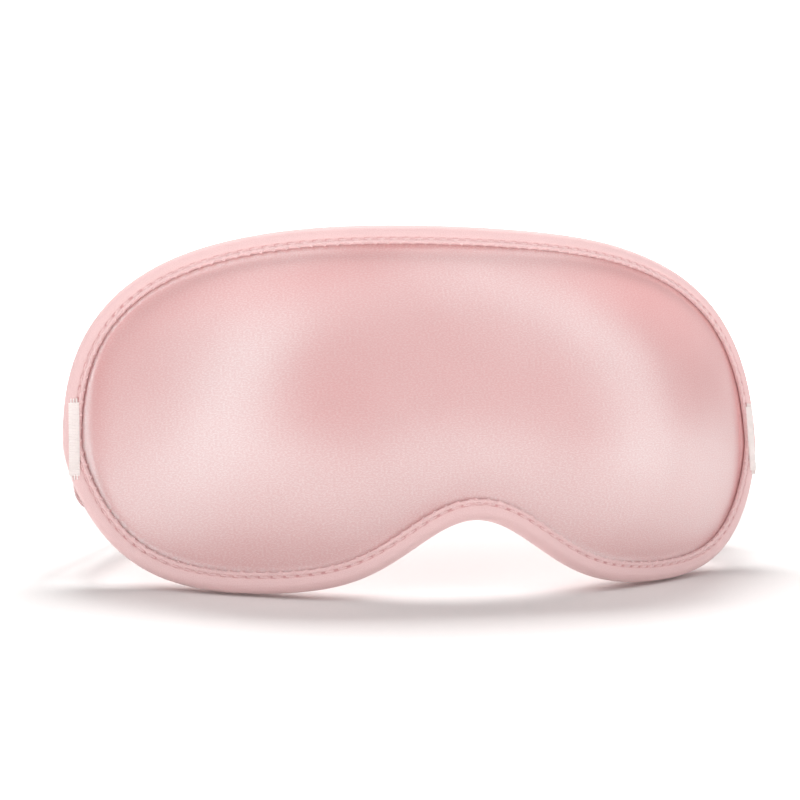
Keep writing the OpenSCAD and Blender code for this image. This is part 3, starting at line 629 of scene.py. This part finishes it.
# ---------- Edge binding ----------
# One strip of lycra tape folded over the raw edges of panel and lining, and sewn through all layers with a
# narrow cover stitch near its inner edge. The needle line pulls a groove, and each stitch nips the edge in.
stitch_pitch, stitch_in = 3.5, 4.25
outline_turn = np.linspace(0, 2 * math.pi, 4001)[:-1]
outline_s = half_w * np.sin(outline_turn)
outline_z = np.where(np.cos(outline_turn) >= 0, lobe(outline_s), brow(outline_s))
outline = np.stack([outline_s, outline_z], 1)


def even_loop(points, count):
    """The same closed line with count evenly spaced points, and its length."""
    ring = np.concatenate([points, points[:1]])
    run = np.concatenate([[0], np.cumsum(np.linalg.norm(np.diff(ring, axis=0), axis=1))])
    at = np.arange(count) * run[-1] / count
    return np.stack([np.interp(at, run, ring[:, k]) for k in range(points.shape[1])], 1), run[-1]


edge_run = even_loop(outline, 8)[1]
stitches = round(edge_run / stitch_pitch)
steps_each = 8
stations = stitches * steps_each
edge_line, edge_run = even_loop(outline, stations)


def smooth_loop(values, passes):
    for _ in range(passes):
        values = (np.roll(values, 1, 0) + 2 * values + np.roll(values, -1, 0)) / 4
    return values


edge_way = np.roll(edge_line, -1, 0) - np.roll(edge_line, 1, 0)
edge_way /= np.linalg.norm(edge_way, axis=1, keepdims=True)
edge_in = smooth_loop(np.stack([-edge_way[:, 1], edge_way[:, 0]], 1), 40)
edge_in /= np.linalg.norm(edge_in, axis=1, keepdims=True)
phase = 2 * math.pi * np.arange(stations) / steps_each


def tape_section():
    """Half of the folded tape, as (inset, height), from the middle of the fold to the inner edge."""
    bend = [(2.3 - 2.3 * math.cos(a), tape_o * math.sin(a)) for a in np.linspace(0, math.pi / 2, 11)]
    flat = [(2.8, tape_o), (3.3, tape_o - 0.02), (3.7, tape_o - 0.10), (4.0, tape_o - 0.26),
            (stitch_in, tape_o - 0.38), (4.5, tape_o - 0.26), (4.8, tape_o - 0.08), (5.1, tape_o - 0.05),
            (5.4, tape_o - 0.18), (binding_w, tape_o - 0.45), (binding_w + 0.02, tape_o - 0.8)]
    under = [(binding_w - 0.05, edge_t + gap), (4.6, edge_t + gap), (3.0, edge_t + gap), (1.9, edge_t + gap)]
    return bend + flat + under


half = tape_section()
closed = half + [(binding_t, 1.0), (binding_t, 0.0), (binding_t, -1.0)]
closed += [(x, -o) for x, o in half[:0:-1]]
section = np.array(closed)
around = np.concatenate([[0], np.cumsum(np.linalg.norm(np.diff(section, axis=0), axis=1))])
nip_in, nip_down, nip_from, groove_w = 0.16, 0.16, 3.6, 0.45
on_face = np.abs(section[:, 1]) > edge_t + gap + 0.1
near_edge = np.clip((section[:, 0] - nip_from) / 2, 0, 1) * on_face
groove = np.exp(-((section[:, 0] - stitch_in) / groove_w) ** 2) * on_face
tape_points, tape_u, tape_v = [], [], []
for k in range(stations):
    nip = 0.5 + 0.5 * math.cos(phase[k])
    depth = section[:, 0] - nip_in * nip * near_edge
    height = section[:, 1] - np.sign(section[:, 1]) * nip_down * nip * groove
    flat = edge_line[k] + depth[:, None] * edge_in[k]
    tape_points.append(on_mask(flat[:, 0], flat[:, 1], height))
    tape_u += [k * edge_run / stations] * len(section)
    tape_v += list(around)
tape_points = np.concatenate(tape_points)


def tube_faces(rings, sides, loop=False, flip=False):
    faces = []
    for i in range(rings if loop else rings - 1):
        for j in range(sides):
            a, b = i * sides + j, i * sides + (j + 1) % sides
            c, d = ((i + 1) % rings) * sides + (j + 1) % sides, ((i + 1) % rings) * sides + j
            faces.append((a, b, c, d))
    if not loop:
        faces += [tuple(range(sides))[::-1], tuple(range((rings - 1) * sides, rings * sides))]
    return [f[::-1] for f in faces] if flip else faces


tape = Finish("lycra_tape", Roughness=0.55, Specular_IOR_Level=0.6, Sheen_Weight=0.35, Sheen_Roughness=0.4)
tape_at, tape_along, tape_across = tape.cloth()
tape_grain = tape.noise(tape_at, 3200.0, 2.0, 0.6)
tape_rib_pitch = 0.0004
tape_rib = (tape_across * (2 * math.pi / tape_rib_pitch)).sine()
needle_v = float(around[[x for x, _ in half].index(stitch_in)]) * mm
# Painted shade: the tape's colour darkens along the needle row, and most at each needle hole.
needle_line_shade = 1 - (tape_across - needle_v).size().above(0.0002, 0.0006)
needle_hole_shade = (tape_along * (2 * math.pi / (edge_run / stitches * mm))).cosine().above(-0.2, 0.7)
tape_tone = tape_grain * 0.6 + tape_rib * 0.05 + 0.25 - needle_line_shade * (needle_hole_shade * 0.5 + 0.25)
tape.set("Base Color", tape.mix(tape_tone, tone(216, 160, 160), tone(254, 226, 225)))
tape.bump(tape_grain * 0.6 + tape_rib * 0.15, 0.00015, 0.6)
binding = new_piece("edge_binding_tape", tape_points, tube_faces(stations, len(section), loop=True), tape)
lay_flat(binding, tape_u, tape_v)
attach(binding, "mask")
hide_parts("edge_binding")

# ---------- Cover stitch on the binding, front and back ----------
# Two rows of polyester thread per side: a straight needle row in the groove, and a zigzag that laps the
# tape's inner edge on to the fabric. Each stitch is an arch of thread whose ends dive into the cloth.


def sewn_row_tree():
    """Lays one arched stitch per pitch along a line; inputs give its sizes, turn and lean."""
    tree = bpy.data.node_groups.new("sewn_row", "GeometryNodeTree")
    tree.interface.new_socket("Geometry", in_out="INPUT", socket_type="NodeSocketGeometry")
    for name in ("Pitch", "Length", "Thread", "Arch", "Dive", "Turn", "Slant"):
        tree.interface.new_socket(name, in_out="INPUT", socket_type="NodeSocketFloat")
    tree.interface.new_socket("Finish", in_out="INPUT", socket_type="NodeSocketMaterial")
    tree.interface.new_socket("Geometry", in_out="OUTPUT", socket_type="NodeSocketGeometry")
    source = tree.nodes.new("NodeGroupInput")
    result = tree.nodes.new("NodeGroupOutput")

    def add(kind, links=(), **settings):
        """A node with its settings, then the links or values of its sockets."""
        made = tree.nodes.new(kind)
        for name, value in settings.items():
            setattr(made, name, value)
        for key, value in links:
            if isinstance(value, bpy.types.NodeSocket):
                tree.links.new(value, made.inputs[key])
            else:
                made.inputs[key].default_value = value
        return made

    def sum_of(operation, a, b):
        return add("ShaderNodeMath", [(0, a), (1, b)], operation=operation).outputs[0]

    given = source.outputs
    line = add("GeometryNodeMeshToCurve", [("Mesh", given["Geometry"])])
    beads = add("GeometryNodeResampleCurve", [("Curve", line.outputs[0]), ("Length", given["Pitch"])],
                mode="LENGTH")
    half_span = sum_of("MULTIPLY", given["Length"], 0.5)
    low = sum_of("MULTIPLY", given["Dive"], -1.0)
    top = sum_of("MULTIPLY", given["Arch"], 2.0)
    start = add("ShaderNodeCombineXYZ", [(0, sum_of("MULTIPLY", half_span, -1.0)), (2, low)])
    middle = add("ShaderNodeCombineXYZ", [(2, top)])
    end = add("ShaderNodeCombineXYZ", [(0, half_span), (2, low)])
    arch = add("GeometryNodeCurveQuadraticBezier", [("Resolution", 5), ("Start", start.outputs[0]),
                                                    ("Middle", middle.outputs[0]), ("End", end.outputs[0])])
    ring = add("GeometryNodeCurvePrimitiveCircle", [("Resolution", 6),
                                                    ("Radius", sum_of("MULTIPLY", given["Thread"], 0.5))])
    stitch = add("GeometryNodeCurveToMesh", [("Curve", arch.outputs[0]), ("Profile Curve", ring.outputs[0]),
                                             ("Fill Caps", True)])
    way = add("GeometryNodeInputTangent")
    along = add("FunctionNodeAlignRotationToVector", [("Vector", way.outputs[0])], axis="X")
    out = add("GeometryNodeInputNamedAttribute", [("Name", "out")], data_type="FLOAT_VECTOR")
    upright = add("FunctionNodeAlignRotationToVector",
                  [("Rotation", along.outputs[0]), ("Vector", out.outputs[0])], axis="Z", pivot_axis="X")
    place = add("GeometryNodeInputIndex")
    odd = sum_of("MODULO", place.outputs[0], 2.0)
    swing = sum_of("MULTIPLY", sum_of("SUBTRACT", sum_of("MULTIPLY", odd, 2.0), 1.0), given["Slant"])
    angle = sum_of("ADD", swing, given["Turn"])
    spin = add("FunctionNodeAxisAngleToRotation", [("Axis", (0, 0, 1)), ("Angle", angle)])
    turned = add("FunctionNodeRotateRotation", [(0, upright.outputs[0]), (1, spin.outputs[0])],
                 rotation_space="LOCAL")
    row = add("GeometryNodeInstanceOnPoints", [("Points", beads.outputs[0]), ("Instance", stitch.outputs[0]),
                                               ("Rotation", turned.outputs[0])])
    real = add("GeometryNodeRealizeInstances", [("Geometry", row.outputs[0])])
    shaded = add("GeometryNodeSetShadeSmooth", [("Geometry", real.outputs[0])])
    coloured = add("GeometryNodeSetMaterial",
                   [("Geometry", shaded.outputs[0]), ("Material", given["Finish"])])
    tree.links.new(coloured.outputs[0], result.inputs[0])
    return tree


sewn_row = sewn_row_tree()


def sew(name, lines, finish, **sizes):
    """Stitches along lines of (points, outward directions, closed); sizes are in metres or radians."""
    points, outs, edges = [], [], []
    for line, out, loop in lines:
        first = len(points)
        points += [tuple(p) for p in line]
        outs += [tuple(o) for o in out]
        edges += [(first + k, first + k + 1) for k in range(len(line) - 1)]
        if loop:
            edges.append((first + len(line) - 1, first))
    mesh = bpy.data.meshes.new(name)
    mesh.from_pydata(points, edges, [])
    outward = mesh.attributes.new("out", "FLOAT_VECTOR", "POINT")
    outward.data.foreach_set("vector", np.ravel(outs))
    piece = bpy.data.objects.new(name, mesh)
    bpy.context.scene.collection.objects.link(piece)
    row = piece.modifiers.new("row", "NODES")
    row.node_group = sewn_row
    for socket in sewn_row.interface.items_tree:
        if socket.in_out == "INPUT" and socket.name == "Finish":
            row[socket.identifier] = finish.material
        elif socket.in_out == "INPUT" and socket.name in sizes:
            row[socket.identifier] = float(sizes[socket.name])
    return finished(piece)


def unit(v):
    return v / np.linalg.norm(v, axis=-1, keepdims=True)


def binding_line(depth, height):
    """A line round the binding at that inset and height, with its outward directions."""
    flat = edge_line + depth * edge_in
    line = on_mask(flat[:, 0], flat[:, 1], height)
    out = unit(on_mask(flat[:, 0], flat[:, 1], height + math.copysign(1, height)) - line)
    return line, out, True


thread = Finish("sewing_thread", Roughness=0.45, Specular_IOR_Level=0.7, Sheen_Weight=0.2)
thread_twist = thread.noise(thread.place(), 5200.0, 2.0)
thread.set("Base Color", thread.mix(thread_twist, tone(226, 178, 178), tone(252, 224, 223)))
thread.bump(thread_twist, 0.00008)
pitch = edge_run / stitches * mm
needle_rows = [binding_line(stitch_in, side * (tape_o - 0.42)) for side in (1, -1)]
needle_row = sew("binding_needle_row", needle_rows, thread, Pitch=pitch, Length=0.8 * pitch, Thread=0.00045,
                 Arch=0.00022, Dive=0.00035)
edge_rows = [binding_line(0.5 * (stitch_in + binding_w + 0.25), side * (tape_o - 0.18)) for side in (1, -1)]
edge_row = sew("binding_edge_zigzag", edge_rows, thread, Pitch=pitch / 2, Length=0.0024, Thread=0.0004,
               Arch=0.00026, Dive=0.0004, Slant=math.radians(36))
for row in (needle_row, edge_row):
    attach(row, "mask")

# ---------- Bartacks ----------
# A dense satin-stitched bar across each end of the mask, over the binding, that locks the strap's end.
# Glossy near-white thread, laid side by side over three long stay stitches.
bar_s, bar_z, bar_w, bar_h = half_w - 3.9, end_h + 1, 3.0, 19.5
bar_thread = Finish("bartack_thread", Roughness=0.38, Specular_IOR_Level=0.8, Sheen_Weight=0.3)
bar_twist = bar_thread.noise(bar_thread.place(), 6000.0, 2.0)
bar_thread.set("Base Color", bar_thread.mix(bar_twist, tone(253, 236, 233), tone(255, 250, 247)))
bar_thread.bump(bar_twist, 0.00006)
for side, name, node in ((-1, "left_bartack_thread", "left_bartack"),
                         (1, "right_bartack_thread", "right_bartack")):
    z = np.linspace(bar_z - bar_h / 2, bar_z + bar_h / 2, 60)
    line = on_mask(side * bar_s + 0 * z, z, tape_o + 0.22)
    out = unit(on_mask(side * bar_s + 0 * z, z, tape_o + 1) - line)
    tack = sew(name, [(line, out, False)], bar_thread, Pitch=0.00041, Length=(bar_w - 0.1) * mm,
               Thread=0.00042, Arch=0.00014, Dive=0.00022, Turn=math.pi / 2)
    stays = []
    for across in (-0.75, 0, 0.75):
        stay = on_mask(side * (bar_s + across) + 0 * z, z, tape_o + 0.08)
        stays.append((stay, out, False))
    under = sew(name + "_stay", stays, bar_thread, Pitch=0.0024, Length=0.0026, Thread=0.00045, Arch=0.00005,
                Dive=0.00005)
    for piece in (tack, under):
        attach(piece, "mask")
    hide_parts(node)

# ---------- Elastic head strap ----------
# Woven 20 mm elastic in two lengths. The left one runs round the head through the ring and back to the
# slider; the right one carries the pod and ends in a folded tab on the ring. Rubber ribs show through.
strap_w, strap_t, rib_count = 20.0, 1.2, 15
side_z, side_run, back_half, side_angle = 26.0, 52.0, 38.0, math.radians(30)
ring_wire, ring_l, fit_gap = 2.6, 9.0, 0.2
loop_r = ring_wire / 2 + fit_gap + strap_t / 2
ring_h = strap_w + 2 * ring_wire + 1
strap_o = -(tape_o + gap + strap_t / 2)
up = np.array([0.0, 0.0, 1.0])
lean_up = np.array([0.0, math.sin(lean), math.cos(lean)])


def bezier(a, leave, b, arrive, count):
    a, leave, b, arrive = (np.asarray(v, float) for v in (a, leave, b, arrive))
    t = np.linspace(0, 1, count + 1)[:, None]
    u = 1 - t
    return u ** 3 * a + 3 * u * u * t * (a + leave) + 3 * u * t * t * (b - arrive) + t ** 3 * b


def root_at(back_from_end):
    return on_mask(half_w - back_from_end, end_h, strap_o) / mm + [0, centre_y, 0]


root_a, root_b = root_at(binding_w + 0.6), root_at(3.4)
side_dir = np.array([-math.sin(side_angle), math.cos(side_angle), 0])
side_a = np.array([root_b[0] - 5.5, root_b[1] + 14.5, side_z])
side_b = side_a + side_run * side_dir
back_y, back_z = side_b[1] + 24, ring_h / 2
back_a = np.array([back_half, back_y, back_z])
ring_x = back_half - ring_l / 2
root_dir = unit(root_b - root_a)
fine = 3
side_route = np.concatenate([[root_a], bezier(root_b, 2.6 * root_dir, side_a, 9 * side_dir, 9 * fine),
                             np.linspace(side_a, side_b, 12)[1:],
                             bezier(side_b, 16 * side_dir, back_a, (-20, 0, 0), 10 * fine)[1:]])
twist_end = 1 + 7 * fine
fold_o, fold_in, tab_fold = strap_t + 0.4, 0.9, 14.0


def side_ups(count):
    k = np.clip((np.arange(count) - 1) / (twist_end - 1), 0, 1)[:, None]
    return unit(lean_up * (1 - k) + up * k)


def fold_route(x, way, run, steps):
    """Half a turn round a bar at x, then back along the strap for run mm."""
    a = np.radians(np.linspace(-90, 90, 13))
    half_turn = np.stack([x + way * loop_r * np.cos(a), back_y + loop_r + loop_r * np.sin(a),
                          back_z + 0 * a], 1)
    back_in = bezier([x - way * 2, back_y + 2 * loop_r - 0.1, back_z], [-way * 2, 0, 0],
                     [x - way * 8, back_y + fold_o, back_z], [-way * 2, 0, 0], 10)
    end = [x - way * run, back_y + fold_o, back_z]
    straight = np.linspace(back_in[-1], end, steps)[1:]
    return np.concatenate([[[x - way * fold_in, back_y, back_z]], half_turn, back_in, straight])


def ribbed_band(name, route, ups):
    """Woven elastic along a route: a flat band whose faces swell over each rubber rib."""
    across = np.linspace(-1, 1, rib_count * 4 + 1)
    rib_rise = 0.07
    ribs = rib_rise * np.cos(math.pi * rib_count * (across + 1))
    edge = np.sqrt(np.clip(1 - np.abs(across) ** 14, 0.05, 1))
    high = edge * (strap_t / 2 - rib_rise) + ribs * (np.abs(across) < 0.985)
    profile = np.concatenate([np.stack([across * strap_w / 2, -high], 1),
                              np.stack([across * strap_w / 2, high], 1)[::-1]])
    route = np.asarray(route, float)
    way = np.gradient(route, axis=0)
    way /= np.linalg.norm(way, axis=1, keepdims=True)
    out = unit(np.cross(way, ups))
    points = route[:, None] + profile[None, :, :1] * ups[:, None] - profile[None, :, 1:] * out[:, None]
    points = (points + [0, -centre_y, 0]).reshape(-1, 3) * mm
    band = new_piece(name, points, tube_faces(len(route), len(profile), flip=True), elastic)
    run = np.concatenate([[0], np.cumsum(np.linalg.norm(np.diff(route, axis=0), axis=1))])
    lay_flat(band, np.repeat(run, len(profile)), np.tile(profile[:, 0], len(route)))
    return band


elastic = Finish("woven_elastic", Roughness=0.7, Sheen_Weight=0.35, Sheen_Roughness=0.5)
elastic_at, elastic_run, elastic_across = elastic.cloth()
elastic_fuzz = elastic.noise(elastic_at, 3000.0, 3.0, 0.6)
elastic_rib = (elastic_across * (2 * math.pi * rib_count / (strap_w * mm))).cosine()
pick_pitch = 0.0011
elastic_pick = (elastic_run * (2 * math.pi / pick_pitch) + elastic_rib * 1.5).sine()
elastic_tone = elastic_fuzz * 0.5 + elastic_pick * 0.12 + elastic_rib * 0.10 + 0.22
elastic.set("Base Color", elastic.mix(elastic_tone, tone(214, 164, 164), tone(250, 219, 217)))
elastic.bump(elastic_pick * 0.5 + elastic_fuzz * 0.4 + elastic_rib * 0.3, 0.00022, 0.9)

left_route = side_route * [-1, 1, 1]
left_end = [ring_x - ring_l / 2 - fold_in - gap / 3, back_y, back_z]
left_route = np.concatenate([left_route, np.linspace(left_route[-1], left_end, 24)[1:]])
strap = ribbed_band("elastic_strap", left_route, side_ups(len(left_route)))
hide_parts("head_strap")

slider_l, slider_travel = 13.0, 44.0
slider_x = ring_x - ring_l / 2 - 8 - slider_travel - slider_l / 2
return_route = fold_route(ring_x - ring_l / 2, 1, ring_x - ring_l / 2 - slider_x, 40)
strap_return = ribbed_band("elastic_return", return_route, np.tile(up, (len(return_route), 1)))
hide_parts("strap_return")

tab_route = fold_route(ring_x + ring_l / 2, -1, tab_fold, 10)
tab_start = side_route[side_route[:, 0] > ring_x + ring_l / 2 + 1]
tab_route = np.concatenate([tab_start, tab_route])
strap_tab = ribbed_band("elastic_tab", tab_route, side_ups(len(tab_route)))
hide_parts("strap_tab")

tab_rows = []
for x in (ring_x + ring_l / 2 + tab_fold - 2.0, ring_x + ring_l / 2 + tab_fold - 4.5):
    row_z = np.linspace(back_z - strap_w / 2 + 1.5, back_z + strap_w / 2 - 1.5, 30)
    row_y = back_y + fold_o + strap_t / 2 - centre_y
    row = np.stack([x + 0 * row_z, row_y + 0 * row_z, row_z], 1) * mm
    tab_rows.append((row, np.tile([0, 1, 0], (len(row_z), 1)), False))
tab_stitches = sew("tab_box_stitch", tab_rows, thread, Pitch=0.0025, Length=0.0021, Thread=0.0004,
                   Arch=0.0002, Dive=0.00015)
for piece, finish_slot in ((strap, "elastic"), (strap_tab, "elastic"), (tab_stitches, "thread")):
    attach(piece, "mask")
free_from = Vector((ring_x - ring_l / 2 - 9, back_y + fold_o - centre_y, back_z)) * mm
free_to = Vector((slider_x + slider_l / 2, back_y + fold_o - centre_y, back_z)) * mm
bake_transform(strap_return)

# ---------- Ring, slider and pod shells ----------
# Moulded parts. The ring is a bent, enamelled wire; the slider and the pod's shells, clip and port flap are
# injection moulded, so every outer edge has a small radius that catches the light.
enamel = Finish("pink_enamel", Roughness=0.22, Coat_Weight=0.6, Coat_Roughness=0.12)
enamel_cloud = enamel.noise(enamel.place(), 300.0, 2.0)
enamel.set("Base Color", enamel.mix(enamel_cloud, tone(232, 182, 180), tone(240, 194, 192)))
dress(enamel, "strap_ring")

moulded = Finish("matt_pink_plastic", Specular_IOR_Level=0.5)
moulded_grain = moulded.noise(moulded.place(), 2600.0, 3.0, 0.6)
moulded.set("Base Color", moulded.mix(moulded_grain, tone(228, 178, 176), tone(236, 190, 188)))
moulded.set("Roughness", moulded_grain * 0.18 + 0.36)
moulded.bump(moulded_grain, 0.00003)


def softened(node, name, finish, radius, body="mask"):
    """The CAD shape with a small radius on its sharp edges."""
    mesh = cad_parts[node].data.copy()
    mesh.name = name
    shape = bmesh.new()
    shape.from_mesh(mesh)
    bmesh.ops.remove_doubles(shape, verts=shape.verts, dist=1e-6)
    bmesh.ops.dissolve_limit(shape, angle_limit=math.radians(1.5), verts=shape.verts, edges=shape.edges)
    shape.to_mesh(mesh)
    shape.free()
    mesh.materials.clear()
    mesh.materials.append(finish.material)
    piece = bpy.data.objects.new(name, mesh)
    bpy.context.scene.collection.objects.link(piece)
    edge = piece.modifiers.new("edge", "BEVEL")
    edge.width = radius * mm
    edge.segments = 3
    edge.limit_method = "ANGLE"
    edge.angle_limit = math.radians(38)
    edge.use_clamp_overlap = True
    finished(piece)
    piece.data.polygons.foreach_set("use_smooth", [True] * len(piece.data.polygons))
    piece.data.set_sharp_from_angle(angle=math.radians(40))
    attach(piece, body)
    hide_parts(node)
    return piece


softened("strap_slider", "slider_buckle", moulded, 0.35, "strap_slider")
softened("pod_back_shell", "pod_rear_case", moulded, 0.3)
softened("pod_front_shell", "pod_front_case", moulded, 0.6)
softened("pod_clip", "pod_strap_clip", moulded, 0.3)
rubber = Finish("soft_flap", Roughness=0.75, Specular_IOR_Level=0.35)
rubber_grain = rubber.noise(rubber.place(), 2200.0, 2.0)
rubber.set("Base Color", rubber.mix(rubber_grain, tone(222, 170, 170), tone(230, 180, 180)))
rubber.bump(rubber_grain, 0.00003)
softened("port_cover", "port_flap", rubber, 0.15, "port_cover")
dress(rubber, "lead_grommet")

# ---------- Power button and its light ----------
# A lathe-turned cap that sits in the front case, a little dished for the fingertip, with a flange inside
# that stops it falling out. The light pipe beside it is a clear pin.
button_finish = Finish("button_cap", Roughness=0.3, Coat_Weight=0.3)
button_grain = button_finish.noise(button_finish.place(), 1800.0, 2.0)
button_finish.set("Base Color", button_finish.mix(button_grain, tone(248, 230, 227), tone(252, 238, 236)))
softened("power_button", "power_button_cap", button_finish, 0.45, "power_button")
lens = Finish("light_pipe", Roughness=0.08, Transmission_Weight=0.6, IOR=1.49)
lens.set("Base Color", lens.mix(lens.noise(lens.place(), 800.0), tone(240, 244, 248), tone(250, 252, 255)))
dress(lens, "light_pipe")

# ---------- Leads ----------
# The pod's lead runs about 63 mm from the pod through the lining to the little board in the mask. From
# there a 202 mm lead goes to the left motor and a 6 mm one to the right. All are silicone-sleeved and
# fixed at both ends.
sleeve = Finish("lead_sleeve", Roughness=0.5, Specular_IOR_Level=0.45)
sleeve_grain = sleeve.noise(sleeve.place(), 2000.0, 2.0)
sleeve.set("Base Color", sleeve.mix(sleeve_grain, tone(224, 184, 182), tone(234, 198, 196)))
red_sleeve = Finish("red_lead", Roughness=0.45)
red_sleeve.set("Base Color", red_sleeve.mix(red_sleeve.noise(red_sleeve.place(), 2000.0), tone(178, 44, 42),
                                            tone(204, 62, 58)))
dress(red_sleeve, "left_lead", "right_lead")


def round_off(node, name, finish):
    """The CAD lead's facets turned into a smooth tube."""
    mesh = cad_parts[node].data.copy()
    mesh.name = name
    shape = bmesh.new()
    shape.from_mesh(mesh)
    bmesh.ops.remove_doubles(shape, verts=shape.verts, dist=1e-6)
    bmesh.ops.join_triangles(shape, faces=shape.faces, angle_face_threshold=math.radians(30),
                             angle_shape_threshold=math.radians(60))
    shape.to_mesh(mesh)
    shape.free()
    mesh.materials.clear()
    mesh.materials.append(finish.material)
    piece = bpy.data.objects.new(name, mesh)
    bpy.context.scene.collection.objects.link(piece)
    smooth = piece.modifiers.new("smooth", "SUBSURF")
    smooth.levels = smooth.render_levels = 2
    finished(piece)
    piece.data.polygons.foreach_set("use_smooth", [True] * len(piece.data.polygons))
    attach(piece, "mask")
    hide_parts(node)
    return piece


round_off("main_lead", "pod_lead", sleeve)
